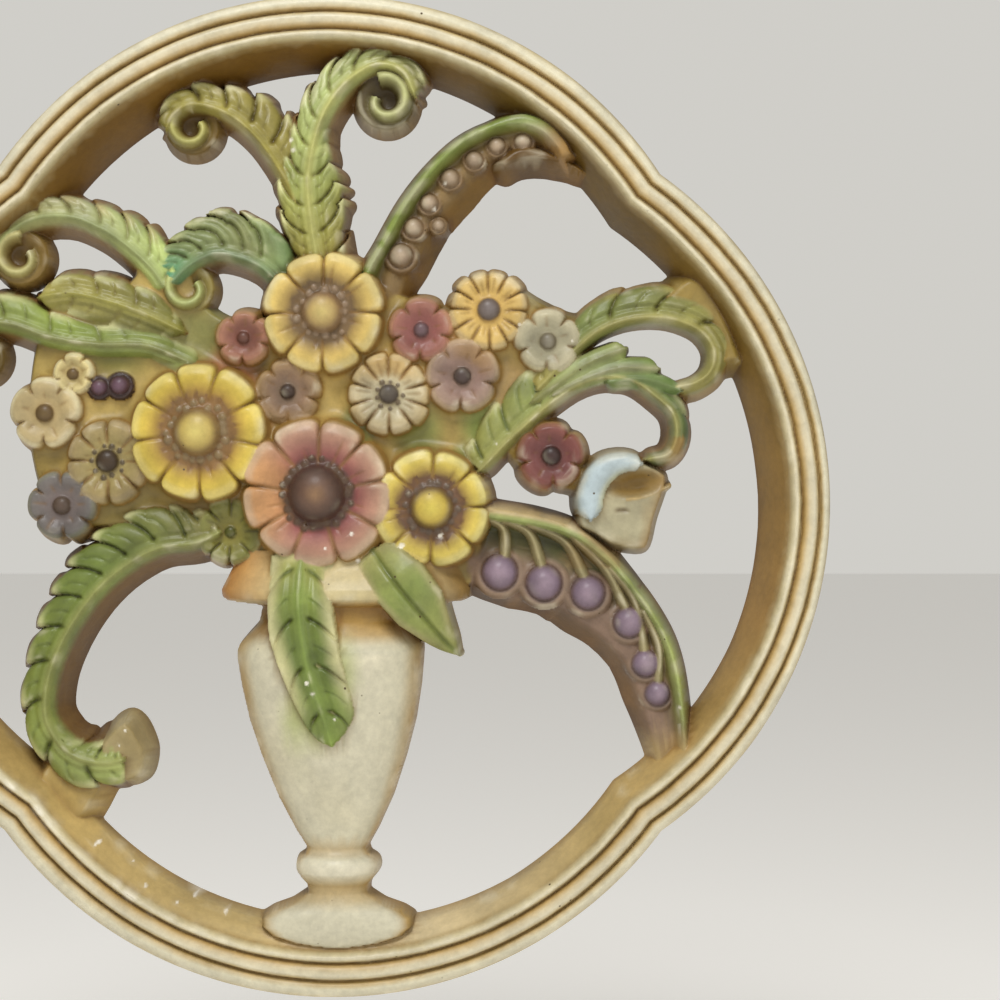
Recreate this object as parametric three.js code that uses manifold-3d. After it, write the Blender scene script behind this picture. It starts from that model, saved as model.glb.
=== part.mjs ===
// Decorative wall plaque: a vase of flowers cast as one openwork piece of plaster with its frame.
// Millimetres, +Z up. The back is flat and lies on the wall at Y = 0; the front faces -Y.
// The origin is on the flat back of the frame, at its top centre, where the plaque is hung.
//
// Everything is laid out on a bench frame first: x to the right, y up the plaque, both from the
// centre of the frame, and z as height off the back. The finished casting is then stood up.

import * as THREE from 'three';
import { mergeVertices } from 'three/addons/utils/BufferGeometryUtils.js';
import Module from 'manifold-3d';

const wasm = await Module();
wasm.setup();

// ---- driving dimensions ----

const lobeRadius = 118; // radius of each of the four lobes of the frame
const lobeShift = 27; // distance of a lobe's centre from the centre of the frame
const rimHeight = 18; // height of the frame's beads off the back
const rimWidth = 18; // width of the frame where it meets the wall
const rimSteps = 48; // straight steps round the frame, with one where each two lobes meet
const kerf = 1; // everything runs this far below the back before the back is cut flat
const wallDraft = 3; // how far a leaf's side runs out between its edge and the back
const groundHeight = 8.5; // height of the thin ground between the blooms
const hangHeight = lobeRadius + lobeShift - rimWidth / 2; // hanging point above the centre

const plasterColour = 0xd9cda4;

// ---- solids: closed meshes made from three.js geometry, joined and cut ----

// Turns a closed three.js geometry into a solid that can be joined and cut.
function toSolid( geometry ) {

	geometry.deleteAttribute( 'normal' );
	geometry.deleteAttribute( 'uv' );
	const merged = mergeVertices( geometry, 1e-4 );
	const index = merged.index.array;
	const triangles = [];
	for ( let i = 0; i < index.length; i += 3 ) {

		const [ a, b, c ] = [ index[ i ], index[ i + 1 ], index[ i + 2 ] ];
		if ( a !== b && b !== c && c !== a ) triangles.push( a, b, c );

	}

	const mesh = new wasm.Mesh( {
		numProp: 3,
		vertProperties: new Float32Array( merged.attributes.position.array ),
		triVerts: new Uint32Array( triangles ),
	} );
	return new wasm.Manifold( mesh );

}

// Moves every vertex of a geometry with shape( x, y, z ), which returns the new place.
function deform( geometry, shape ) {

	const position = geometry.attributes.position;
	for ( let i = 0; i < position.count; i ++ ) {

		position.setXYZ( i, ...shape( position.getX( i ), position.getY( i ), position.getZ( i ) ) );

	}

	return geometry;

}

function join( solids ) {

	return solids.reduce( ( whole, solid ) => whole.add( solid ) );

}

function mix( a, b, t ) {

	return a + ( b - a ) * t;

}

// Reads a value off a list of [ place, value ] pairs in rising order of place.
function along( pairs, t ) {

	for ( let i = 1; i < pairs.length; i ++ ) {

		const [ t0, v0 ] = pairs[ i - 1 ];
		const [ t1, v1 ] = pairs[ i ];
		if ( t <= t1 ) return mix( v0, v1, Math.max( 0, ( t - t0 ) / ( t1 - t0 ) ) );

	}

	return pairs[ pairs.length - 1 ][ 1 ];

}

function smoothCurve( points, closed = false ) {

	return new THREE.CatmullRomCurve3( points.map( ( [ x, y ] ) => new THREE.Vector3( x, y, 0 ) ), closed );

}

// ---- the frame ----

// Distance of the frame's outline from its centre, set in from the outer edge by depth.
function outline( angle, depth ) {

	const quarter = Math.PI / 2;
	const turn = angle - Math.round( angle / quarter ) * quarter;
	const across = lobeShift * Math.sin( turn );
	return lobeShift * Math.cos( turn ) + Math.sqrt( ( lobeRadius - depth ) ** 2 - across ** 2 );

}

// Section of the frame as [ distance in from the outer edge, height ]: a bead, a flat band and a
// second bead with a groove between each two, then the sloping inner wall.
const rimSection = [
	[ 0, - kerf ], [ 0, 13 ], [ 1.6, 17 ], [ 4.4, 15.6 ], [ 6.4, rimHeight ], [ 9.5, 16 ],
	[ 10.9, rimHeight ], [ 12.6, 16.4 ], [ rimWidth, - kerf ],
];

// The foot of the inner wall wanders: [ degrees round from the right, how far it runs in or out ].
const wallFlare = [ [ - 180, 1.4 ], [ - 130, 2.8 ], [ - 100, 1.9 ], [ - 65, - 0.6 ], [ - 20, - 0.2 ],
	[ 5, 1.4 ], [ 45, 1.6 ], [ 60, 0.6 ], [ 85, - 1 ], [ 110, 0.2 ], [ 130, 0.8 ], [ 180, 1.4 ] ];

function rim() {

	const span = lobeRadius + lobeShift;
	const section = [ ...rimSection, rimSection[ 0 ] ]
		.map( ( [ depth, height ] ) => new THREE.Vector2( span - depth, height ) );
	return toSolid( deform( new THREE.LatheGeometry( section, rimSteps ), ( x, y, z ) => {

		const angle = Math.atan2( - z, x );
		const depth = span - Math.hypot( x, z );
		const flare = depth > rimWidth - 0.1 ? along( wallFlare, THREE.MathUtils.radToDeg( angle ) ) : 0;
		const radius = outline( angle, depth + flare );
		return [ radius * Math.cos( angle ), radius * Math.sin( angle ), y ];

	} ) );

}

// ---- leaves and stems ----

// A list of lobe tips [ place, width ] becomes a leaf's edge of [ place, width, rib ]: a notch
// follows every tip of a broad lobe, and rib is 1 on the lobes and 0 in the notches.
function lobedEdge( tips ) {

	const edge = [];
	tips.forEach( ( [ t, w ], i ) => {

		edge.push( [ t, w, 1 ] );
		const next = tips[ i + 1 ];
		if ( next && Math.min( w, next[ 1 ] ) > 3 ) {

			edge.push( [ mix( t, next[ 0 ], 0.3 ), 0.76 * mix( w, next[ 1 ], 0.3 ), 0 ] );

		}

	} );
	return edge;

}

// A leaf or stem swept along a spine. left and right list the lobe tips of its two edges, lean
// draws the lobes towards the tip, crown and brim are its heights along the spine and the edges,
// draft is how far its two sides run out down to the back, and rows are the places across it that
// have vertices, from - 1 at its left edge to 1 at its right edge.
function leaf( { spine, left, right, lean = 0.45, crown = 13.5, brim = 10.5, bow = 2,
	draft = [ wallDraft, wallDraft ], lobed = true, steps = 0,
	rows = [ - 1, 0, 1 ] } ) {

	const curve = smoothCurve( spine );
	const edges = [ left, right ].map( ( tips ) => lobed ? lobedEdge( tips ) : tips );
	const crowns = Array.isArray( crown ) ? crown : [ [ 0, crown ], [ 1, crown ] ];
	const brims = Array.isArray( brim ) ? brim : [ [ 0, brim ], [ 1, brim ] ];
	const marks = edges.flat().map( ( [ t ] ) => t );
	for ( let i = 0; i <= steps; i ++ ) marks.push( i / Math.max( steps, 1 ) );
	const stations = marks.sort( ( a, b ) => a - b )
		.filter( ( t, i, all ) => i === 0 || t - all[ i - 1 ] > 0.02 );
	stations[ stations.length - 1 ] = 1;
	const count = stations.length - 1;
	const box = new THREE.BoxGeometry( 1, 1, 1, count, 1, rows.length - 1 );
	return toSolid( deform( box, ( x, y, z ) => {

		const t = stations[ Math.round( ( x + 0.5 ) * count ) ];
		const point = curve.getPointAt( t );
		const ahead = curve.getTangentAt( t );
		const row = rows[ Math.round( ( z + 0.5 ) * ( rows.length - 1 ) ) ];
		const side = row > 0 ? 1 : 0;
		const s = Math.abs( row );
		const edge = edges[ side ];
		const width = along( edge, t );
		const rib = lobed ? along( edge.map( ( [ place, , high ] ) => [ place, high ] ), t ) : 1;
		const low = y < 0;
		const out = ( low ? width + draft[ side ] : width ) * s * ( side ? - 1 : 1 );
		const forward = lean * width * s * s;
		const height = mix( along( crowns, t ), along( brims, t ), s ** bow ) - 1.3 * ( 1 - rib ) * s;
		return [
			point.x - ahead.y * out + ahead.x * forward,
			point.y + ahead.x * out + ahead.y * forward,
			low ? - kerf : height,
		];

	} ) );

}

// A scroll that ends a leaf: a sunk floor inside a ridge. The ridge follows the edge from the angle
// start, then winds inwards and down to a boss in the middle. hand is the way it winds.
function scroll( { at: [ x, y ], radius, start, hand = 1, top = 13.5, floor = 8 } ) {

	const steps = 12;
	const [ edge, crest, foot ] = [ 1, 0.86, 0.66 ]; // rings, as shares of the radius
	const section = [
		[ 0, - kerf ], [ edge, - kerf ], [ edge, floor ], [ crest, top ], [ foot, floor ],
		[ 0.3, floor ], [ 0.16, floor + 2.5 ], [ 0, floor + 3 ],
	].map( ( [ r, h ] ) => new THREE.Vector2( r, h ) );
	return toSolid( deform( new THREE.LatheGeometry( section, steps ), ( px, h, pz ) => {

		const r = Math.hypot( px, pz );
		const angle = Math.atan2( px, pz );
		const turned = ( hand * angle / ( 2 * Math.PI ) + 1.0001 ) % 1;
		const wound = Math.max( 0, turned - 0.45 ) / 0.55;
		const onRidge = r > foot - 0.01 && r < crest + 0.01;
		const reach = h < 0 ? radius * r + 2 * r : radius * ( r - ( onRidge ? 0.34 * wound : 0 ) );
		const height = h === top ? mix( top, floor + 2, wound ) : h;
		const way = start + angle;
		return [ x + reach * Math.cos( way ), y + reach * Math.sin( way ), height ];

	} ) );

}

// ---- blooms, berries and ground ----

// An open bloom: petals round a sunk disc with a dome in its centre. tilt leans its face.
function bloom( { at: [ x, y ], radius, petals, face = 14, dome, gap = 0.14, twist = 0,
	tilt = [ 0, 0 ], cup = 1.2 } ) {

	const floor = face - cup;
	const section = [
		[ 0, - kerf ], [ radius + 1.6, - kerf ], [ radius, face - 1.6 ], [ 0.75 * radius, face + 0.4 ],
		[ 1.2 * dome, floor ], [ 0, floor + 0.9 * dome ],
	].map( ( [ r, h ] ) => new THREE.Vector2( r, h ) );
	const steps = petals * ( petals < 7 || radius > 15 ? 3 : 2 );
	return toSolid( deform( new THREE.LatheGeometry( section, steps ), ( px, h, pz ) => {

		const r = Math.hypot( px, pz );
		const angle = Math.atan2( px, pz );
		const between = r > 0.6 * radius ? Math.max( 0, Math.cos( petals * angle ) ) ** 2 : 0;
		const out = r * ( 1 - gap * between );
		const turned = angle + twist;
		const [ qx, qy ] = [ out * Math.sin( turned ), - out * Math.cos( turned ) ];
		const lean = h > 0 ? qx * tilt[ 0 ] + qy * tilt[ 1 ] - 1.2 * between : 0;
		return [ x + qx, y + qy, h + lean ];

	} ) );

}

function berry( [ x, y, radius ], height ) {

	const ball = new THREE.IcosahedronGeometry( 1.08 * radius, 0 );
	ball.translate( x, y, height );
	return toSolid( ball );

}

// A flat-topped plate with sloping sides. The smooth closed curve is its outline on the back.
function plate( points, height, draft = 2.2 ) {

	const edge = smoothCurve( points, true ).getPoints( points.length ).slice( 0, - 1 );
	const slab = new THREE.ExtrudeGeometry( new THREE.Shape( edge ), { depth: height, bevelEnabled: false } );
	const turn = THREE.ShapeUtils.isClockWise( edge ) ? 1 : - 1;
	return toSolid( deform( slab, ( x, y, z ) => {

		if ( z < height / 2 ) return [ x, y, - kerf ];
		const i = edge.findIndex( ( point ) => Math.hypot( point.x - x, point.y - y ) < 1e-3 );
		const before = edge[ ( i + edge.length - 1 ) % edge.length ];
		const along = edge[ ( i + 1 ) % edge.length ].clone().sub( before ).normalize();
		return [ x + turn * draft * along.y, y - turn * draft * along.x, height ];

	} ) );

}

// ---- the vase ----

// Rows of the vase from the lip down: [ height on the plaque, half width, front height ].
const vaseRows = [
	[ - 19, 33.5, 21 ], [ - 25.5, 36.7, 22.5 ], [ - 29, 35.5, 22 ], [ - 30.5, 21.4, 18 ],
	[ - 35, 21.8, 18 ], [ - 41.5, 26.8, 22 ], [ - 45, 27.2, 23.5 ], [ - 54, 26.2, 23 ],
	[ - 64, 24.3, 22 ], [ - 75, 21, 20 ], [ - 87, 16.6, 17.5 ],
	[ - 96.5, 11.9, 15.5 ], [ - 101.5, 8.9, 14 ], [ - 103.5, 10.2, 15.5 ], [ - 106.5, 13, 17.5 ],
	[ - 109.5, 12.6, 17 ], [ - 114.5, 8.9, 14.5 ], [ - 119.5, 20, 17.5 ],
	[ - 124, 24.5, 20 ], [ - 128.5, 9, 20 ],
];
// How far the middle of each row stands to the right; the lip reaches further right than left.
const vaseAxis = [ [ - 130, 1.5 ], [ - 106, 1.2 ], [ - 45, - 1.2 ], [ - 30.5, 0.4 ], [ - 29, 3.6 ],
	[ - 19, 3.6 ] ];

function vase() {

	const steps = 12;
	const backing = 6; // the round front stands on a straight side of this height
	const rows = [ ...vaseRows ].reverse();
	const section = rows.map( ( [ y, half ] ) => new THREE.Vector2( half, y ) );
	section.unshift( new THREE.Vector2( 0, rows[ 0 ][ 0 ] ) );
	section.push( new THREE.Vector2( 0, vaseRows[ 0 ][ 0 ] ) );
	const fronts = rows.map( ( [ y, , front ] ) => [ y, front ] );
	return toSolid( deform( new THREE.LatheGeometry( section, steps ), ( x, y, z ) => {

		const half = Math.hypot( x, z );
		const axis = along( vaseAxis, y );
		if ( half < 0.01 ) return [ axis, y, backing / 2 ];
		if ( z < - 0.01 ) return [ axis + x / Math.cos( 2 * Math.PI / steps ), y, - kerf ];
		return [ axis + x, y, mix( backing, along( fronts, y ), Math.max( 0, z / half ) ) ];

	} ) );

}

// ---- what the casting is made of ----

// Long leaves: the tall middle one, its left neighbour and the small one under that.
const tallLeaf = {
	spine: [ [ - 3.5, 66 ], [ - 6, 81 ], [ - 7, 93 ], [ - 5.5, 104 ], [ - 1.5, 115 ], [ 5.5, 123.5 ],
		[ 13.5, 127.5 ], [ 20.5, 125.5 ], [ 24, 119 ] ],
	left: [ [ 0, 6 ], [ 0.14, 9.3 ], [ 0.26, 9 ], [ 0.39, 7.5 ], [ 0.51, 8.4 ], [ 0.63, 8.4 ],
		[ 0.76, 7 ], [ 0.88, 5 ], [ 1, 3 ] ],
	right: [ [ 0, 8 ], [ 0.14, 10.5 ], [ 0.26, 9 ], [ 0.39, 4.8 ], [ 0.51, 1.8 ], [ 1, 1.8 ] ],
	crown: 15, brim: 11.5, draft: [ 2.5, 3.2 ],
};
const tallScroll = { at: [ 15.5, 117.8 ], radius: 8.4, start: 0.5, hand: - 1, top: 15, floor: 9 };
const leftLeaf = {
	spine: [ [ - 11, 88 ], [ - 13, 93 ], [ - 17.5, 100.5 ], [ - 22.5, 107 ], [ - 29, 112.5 ],
		[ - 36, 115.5 ], [ - 42, 116 ], [ - 46.5, 113 ], [ - 48.5, 109 ] ],
	left: [ [ 0, 2 ], [ 1, 1.6 ] ],
	right: [ [ 0, 5 ], [ 0.15, 6.5 ], [ 0.28, 11.5 ], [ 0.43, 10.5 ], [ 0.58, 8.2 ], [ 0.72, 7 ],
		[ 0.86, 5.5 ], [ 1, 3 ] ],
	crown: 13.5, brim: 10, draft: [ 2.8, 2.5 ],
};
const leftScroll = { at: [ - 41.5, 110 ], radius: 7.8, start: 2.6, top: 13.5, floor: 8 };
const smallLeaf = {
	spine: [ [ - 13, 60 ], [ - 16, 64 ], [ - 20.5, 68.5 ], [ - 27, 71.5 ], [ - 34, 72.7 ], [ - 39, 71 ],
		[ - 43.5, 68 ], [ - 47, 64 ] ],
	left: [ [ 0, 2 ], [ 1, 1.6 ] ],
	right: [ [ 0, 9 ], [ 0.28, 13.5 ], [ 0.4, 13.5 ], [ 0.53, 11.5 ], [ 0.66, 10 ], [ 0.77, 9.5 ],
		[ 0.88, 8.5 ], [ 1, 6 ] ],
	crown: 12.5, brim: 10, draft: [ 3.2, 2 ], lean: 0.35,
};
const smallScroll = { at: [ - 42, 63 ], radius: 6.2, start: 2.2, top: 13, floor: 7.5 };

// Leaves of the left side.
const upperLeftLeaf = {
	spine: [ [ - 49, 63 ], [ - 53, 68.5 ], [ - 60, 75 ], [ - 67.5, 80 ], [ - 77, 83.5 ], [ - 87, 83 ],
		[ - 95, 78.5 ], [ - 99.5, 72 ] ],
	left: [ [ 0, 3 ], [ 0.5, 2.2 ], [ 1, 1.8 ] ],
	right: [ [ 0, 8 ], [ 0.12, 8.5 ], [ 0.24, 7.5 ], [ 0.38, 6.2 ], [ 0.52, 6.2 ], [ 0.66, 7 ],
		[ 0.8, 6.5 ], [ 1, 4 ] ],
	crown: 12.5, brim: 9.5, draft: [ 4, 2.5 ],
};
const upperLeftScroll = { at: [ - 92, 72 ], radius: 8, start: 0.6, top: 13, floor: 8 };
const fanLeaf = {
	spine: [ [ - 44, 50 ], [ - 55, 55 ], [ - 65, 58.5 ], [ - 76, 61 ], [ - 86, 60 ] ],
	left: [ [ 0, 5 ], [ 0.25, 7 ], [ 0.5, 7 ], [ 0.75, 6 ], [ 1, 2 ] ],
	right: [ [ 0, 5 ], [ 0.2, 7 ], [ 0.4, 7.2 ], [ 0.6, 6.6 ], [ 0.8, 5.4 ], [ 1, 2 ] ],
	crown: 12.5, brim: 10,
};
const sideLeaf = {
	spine: [ [ - 40, 40 ], [ - 54, 45.5 ], [ - 68, 46 ], [ - 82, 48 ], [ - 94, 52 ], [ - 104, 52.5 ],
		[ - 111, 47.5 ], [ - 112, 41 ] ],
	left: [ [ 0, 4 ], [ 0.4, 3 ], [ 0.7, 2.2 ], [ 1, 1.8 ] ],
	right: [ [ 0, 4 ], [ 0.25, 5.5 ], [ 0.42, 6.5 ], [ 0.56, 8 ], [ 0.7, 8.5 ], [ 0.82, 7 ], [ 1, 4 ] ],
	crown: 13, brim: 10, draft: [ 3.5, 3 ],
};
const sideScroll = { at: [ - 104.5, 42.5 ], radius: 7.6, start: 0.2, top: 13, floor: 8 };
const sweepingLeaf = {
	spine: [ [ - 33, - 9 ], [ - 40, - 12 ], [ - 50, - 13.3 ], [ - 58, - 17 ], [ - 66, - 23 ],
		[ - 73, - 31 ], [ - 79, - 41 ], [ - 83, - 52 ], [ - 83.5, - 63 ], [ - 79, - 71 ],
		[ - 73, - 75 ], [ - 64, - 75.5 ], [ - 55, - 73.5 ] ],
	left: [ [ 0, 2 ], [ 0.7, 2 ], [ 0.82, 3.5 ], [ 0.92, 6 ], [ 1, 6 ] ],
	right: [ [ 0, 9 ], [ 0.1, 13 ], [ 0.21, 13.3 ], [ 0.32, 12 ], [ 0.43, 10 ], [ 0.56, 8.2 ],
		[ 0.7, 7.5 ], [ 0.85, 9.5 ], [ 1, 8 ] ],
	crown: [ [ 0, 13 ], [ 0.8, 14 ], [ 1, 16 ] ], brim: [ [ 0, 10.5 ], [ 0.8, 11 ], [ 1, 14 ] ],
	draft: [ 4.5, 2.5 ], lean: 0.25,
};

// The forked leaf of the right side, with its own side lobes.
const forkStem = {
	spine: [ [ 43, 9 ], [ 50, 16.5 ], [ 57, 23 ], [ 64, 29 ], [ 72, 34.2 ], [ 80, 36.4 ], [ 88, 35.3 ],
		[ 95, 30.5 ], [ 99.7, 25.5 ], [ 100.5, 19 ], [ 98, 14 ], [ 92, 12.5 ] ],
	left: [ [ 0, 8 ], [ 0.12, 11 ], [ 0.25, 12 ], [ 0.4, 9.5 ], [ 0.56, 5 ], [ 0.74, 4.6 ],
		[ 0.9, 3 ], [ 1, 1.4 ] ],
	right: [ [ 0, 1.8 ], [ 1, 1.4 ] ],
	crown: 13.5, brim: 10.5, draft: [ 2, 2.5 ],
};
const forkLoop = {
	spine: [ [ 60, 33 ], [ 70, 43.5 ], [ 77, 49.5 ], [ 84.5, 52.8 ], [ 92.3, 54 ], [ 100, 53.3 ],
		[ 107.5, 50 ], [ 111.3, 44.5 ], [ 110.5, 38.5 ], [ 106, 34.8 ], [ 100, 33.6 ] ],
	left: [ [ 0, 4 ], [ 0.15, 5 ], [ 0.31, 7.8 ], [ 0.47, 9.4 ], [ 0.62, 7.5 ], [ 0.8, 3.4 ],
		[ 1, 2 ] ],
	right: [ [ 0, 4 ], [ 0.2, 1.8 ], [ 1, 1.8 ] ],
	crown: 13.5, brim: 10.5, lean: 0.9, draft: [ 2.5, 1 ],
};
const forkLobes = [ // spine and half width of each side lobe
	[ [ [ 64, 33 ], [ 75, 40.5 ], [ 86, 44.5 ] ], 3 ],
	[ [ [ 72, 35 ], [ 83, 38 ], [ 94, 38.6 ] ], 3 ],
	[ [ [ 84, 35.5 ], [ 93, 35 ], [ 102, 32 ] ], 3 ],
];

// Leaves that hang over the lip of the vase, and the small fan beside it.
const vaseLeaf = {
	spine: [ [ - 9, - 18 ], [ - 9.5, - 29 ], [ - 8.2, - 41 ], [ - 4.5, - 52 ], [ - 0.5, - 61 ],
		[ 4.5, - 71 ] ],
	left: [ [ 0, 7 ], [ 0.2, 8.6 ], [ 0.42, 8.2 ], [ 0.62, 7.5 ], [ 0.8, 5 ], [ 1, 1 ] ],
	right: [ [ 0, 7 ], [ 0.2, 8.6 ], [ 0.42, 8.2 ], [ 0.62, 7.5 ], [ 0.8, 5 ], [ 1, 1 ] ],
	crown: [ [ 0, 25.5 ], [ 0.4, 25.5 ], [ 0.7, 25 ], [ 1, 21.5 ] ],
	brim: [ [ 0, 23 ], [ 0.4, 23 ], [ 0.7, 22 ], [ 1, 21 ] ], draft: [ 0.6, 0.6 ], lean: 0.3,
};
const pointedLeaf = {
	spine: [ [ 12, - 15 ], [ 19, - 23.5 ], [ 26, - 32 ], [ 31, - 38 ], [ 37, - 44.5 ] ],
	left: [ [ 0, 6 ], [ 0.3, 9.3 ], [ 0.55, 8.6 ], [ 0.8, 4.5 ], [ 1, 1 ] ],
	right: [ [ 0, 6 ], [ 0.3, 7.5 ], [ 0.55, 7 ], [ 0.8, 4 ], [ 1, 1 ] ],
	crown: [ [ 0, 25 ], [ 0.5, 24 ], [ 1, 18 ] ], brim: [ [ 0, 23.5 ], [ 0.5, 22 ], [ 1, 17 ] ],
	draft: [ 0.8, 0.8 ], lobed: false, steps: 5, lean: 0,
};

// The two hanging sprays: a ridged back along one edge and berries along the other.
const upperSpray = {
	spine: [ [ 9, 62 ], [ 11.2, 68.8 ], [ 14.8, 75 ], [ 21.8, 87.4 ], [ 29.2, 97 ], [ 37.8, 105 ],
		[ 46.3, 109.3 ], [ 54.5, 110.9 ], [ 61, 109 ], [ 66, 104 ], [ 69, 98 ] ],
	left: [ [ 0, 1.2 ], [ 0.7, 1.2 ], [ 0.82, 4 ], [ 1, 6 ] ],
	right: [ [ 0, 12 ], [ 0.15, 11.5 ], [ 0.32, 12 ], [ 0.5, 12.5 ], [ 0.7, 12 ], [ 0.85, 8.5 ],
		[ 1, 4 ] ],
	crown: 14, brim: 8.5, bow: 0.7, draft: [ 2, 5 ], lobed: false, steps: 8, lean: 0,
};
const upperBerries = [ [ 55.9, 105.3, 3.2 ], [ 48.3, 104.2, 3.2 ], [ 41.7, 100, 3.4 ],
	[ 34.9, 94.5, 3.5 ], [ 28.8, 87.2, 3.3 ], [ 24, 79.9, 3.5 ], [ 20.1, 71.8, 4.2 ], [ 31.4, 80.5, 2.2 ] ];
const lowerSpray = {
	spine: [ [ 42, - 3.5 ], [ 48, - 4.4 ], [ 59.8, - 6.2 ], [ 70.4, - 9.4 ], [ 79, - 15.5 ],
		[ 84, - 20.5 ], [ 91, - 29 ], [ 97, - 38.8 ], [ 100.2, - 47.8 ], [ 102, - 58.6 ],
		[ 103, - 70 ] ],
	left: [ [ 0, 2.5 ], [ 0.35, 1.5 ], [ 0.5, 0.5 ], [ 1, 0.6 ] ],
	right: [ [ 0, 20 ], [ 0.2, 23 ], [ 0.35, 25 ], [ 0.5, 21 ], [ 0.65, 18 ], [ 0.8, 14.5 ],
		[ 1, 9 ] ],
	crown: 14, brim: 8, bow: 0.6, draft: [ 2, 4 ], lobed: false, steps: 8, lean: 0,
};
const lowerBerries = [ [ 48.9, - 20.6, 5.4 ], [ 61.9, - 23.7, 5.4 ], [ 74.8, - 26.6, 5.1 ],
	[ 86.8, - 35.3, 4.6 ], [ 91.7, - 47.4, 4.1 ], [ 95.2, - 56.2, 3.8 ] ];

// Blooms, from the big ones to the small ones; those past x = -70 are the far left ones.
const blooms = [
	{ at: [ - 2.5, 55 ], radius: 17.3, petals: 8, face: 17.5, dome: 5.2, tilt: [ 0, 0.04 ] },
	{ at: [ - 38.8, 20.3 ], radius: 19.3, petals: 9, face: 18, dome: 6, tilt: [ 0.04, 0 ] },
	{ at: [ - 4, 2.3 ], radius: 21.3, petals: 9, face: 20, dome: 7, tilt: [ 0, - 0.02 ] },
	{ at: [ 29.2, - 1.7 ], radius: 16.8, petals: 8, face: 18, dome: 5.4, tilt: [ - 0.04, 0 ] },
	{ at: [ - 26, 48 ], radius: 8, petals: 5, face: 13.5, dome: 1.7, twist: 0.3 },
	{ at: [ 26, 50.3 ], radius: 9.4, petals: 5, face: 14, dome: 2, twist: 0.6 },
	{ at: [ 45.7, 56.2 ], radius: 11.3, petals: 12, face: 14, dome: 3, gap: 0.09 },
	{ at: [ 63, 47 ], radius: 9.4, petals: 5, face: 14, dome: 2.2, twist: 0.3 },
	{ at: [ 38, 36.8 ], radius: 10.5, petals: 5, face: 14.5, dome: 2.3, twist: 0.6 },
	{ at: [ 16.5, 31.5 ], radius: 11.8, petals: 10, face: 14.5, dome: 2.6 },
	{ at: [ - 13, 32.3 ], radius: 9.4, petals: 5, face: 13.5, dome: 2, twist: 0.9 },
	{ at: [ - 65.6, 12 ], radius: 12.2, petals: 8, face: 14, dome: 3 },
	{ at: [ 64, 13.5 ], radius: 9.9, petals: 5, face: 14, dome: 2.5, twist: 0.2 },
	{ at: [ - 30, - 8.8 ], radius: 9.8, petals: 8, face: 12, dome: 1.6, cup: 2 },
	{ at: [ - 79, - 1 ], radius: 10, petals: 6, face: 13.5, dome: 2.4 },
	{ at: [ - 84, 26 ], radius: 10.5, petals: 5, face: 13.5, dome: 2.4, twist: 0.5 },
	{ at: [ - 76, 37.5 ], radius: 6, petals: 5, face: 12.5, dome: 1.6 },
];
const buds = [ [ - 62.5, 34.2, 3 ], [ - 68.5, 33.5, 2.6 ] ];

// The square trumpet bloom of the right side: its outline, and the path of its rolled lip.
const trumpetOutline = [ [ 81, 15.3 ], [ 88.5, 13.9 ], [ 96.5, 10.6 ], [ 99.3, 6.2 ], [ 96, - 4.8 ],
	[ 92.6, - 15 ], [ 82.5, - 14.5 ], [ 76, - 10.9 ], [ 71, - 7.7 ], [ 71.5, 0 ], [ 74.8, 7.1 ],
	[ 76.9, 12 ] ];
const trumpetLip = {
	spine: [ [ 87, 12 ], [ 81, 10.5 ], [ 77, 5.5 ], [ 75, - 1 ], [ 76.5, - 5.5 ] ],
	left: [ [ 0, 2 ], [ 0.5, 4 ], [ 1, 2 ] ], right: [ [ 0, 2 ], [ 0.5, 3.4 ], [ 1, 3 ] ],
	crown: 16, brim: 13, draft: [ 0.5, 0.5 ], lobed: false, steps: 4, lean: 0,
};

// The thin ground behind the blooms, and the webs that tie a leaf on each side to the frame.
const groundOutline = [
	[ - 9, 65 ], [ - 16, 57 ], [ - 21.5, 53.5 ], [ - 30, 55 ], [ - 37, 60 ], [ - 41, 70 ], [ - 47, 76 ],
	[ - 54, 80.5 ], [ - 62, 84 ], [ - 72, 85.5 ], [ - 74, 79 ], [ - 60, 69 ], [ - 68, 62.5 ], [ - 84, 59 ],
	[ - 89, 48 ], [ - 91, 36 ], [ - 92, 24 ], [ - 89, 6 ], [ - 83, - 8 ], [ - 70, - 9 ], [ - 56, - 9 ],
	[ - 37, - 12 ], [ - 24, - 19 ], [ 0, - 24 ], [ 30, - 24 ], [ 41, - 26 ], [ 46, - 12 ], [ 44, 1 ],
	[ 44.5, 11 ],
	[ 50, 13 ], [ 56, 6 ], [ 66, 2.5 ], [ 74, 2 ], [ 78, 9 ], [ 74.5, 13 ], [ 70.5, 22 ], [ 64.5, 27 ],
	[ 76, 46 ], [ 80, 57 ], [ 71, 56.5 ], [ 62, 60.5 ], [ 54, 65 ], [ 45, 66 ], [ 38, 60 ], [ 28, 59 ],
	[ 14, 65 ],
];
const webOutlines = [
	[ [ - 82, - 70 ], [ - 70, - 76 ], [ - 61, - 79 ], [ - 65, - 87 ], [ - 72, - 97 ], [ - 85, - 96 ],
		[ - 92, - 84 ] ],
	[ [ 92, 58 ], [ 97, 66 ], [ 106, 70 ], [ 116, 62 ], [ 124, 40 ], [ 116, 36.5 ], [ 103, 31 ], [ 110, 47 ] ],
];

function trumpet() {

	const hollow = new THREE.SphereGeometry( 1, 10, 6 );
	hollow.scale( 8, 5, 5 );
	hollow.translate( 87, 4.5, 14.5 );
	return plate( trumpetOutline, 13, 2 ).subtract( toSolid( hollow ) ).add( leaf( trumpetLip ) );

}

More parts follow.
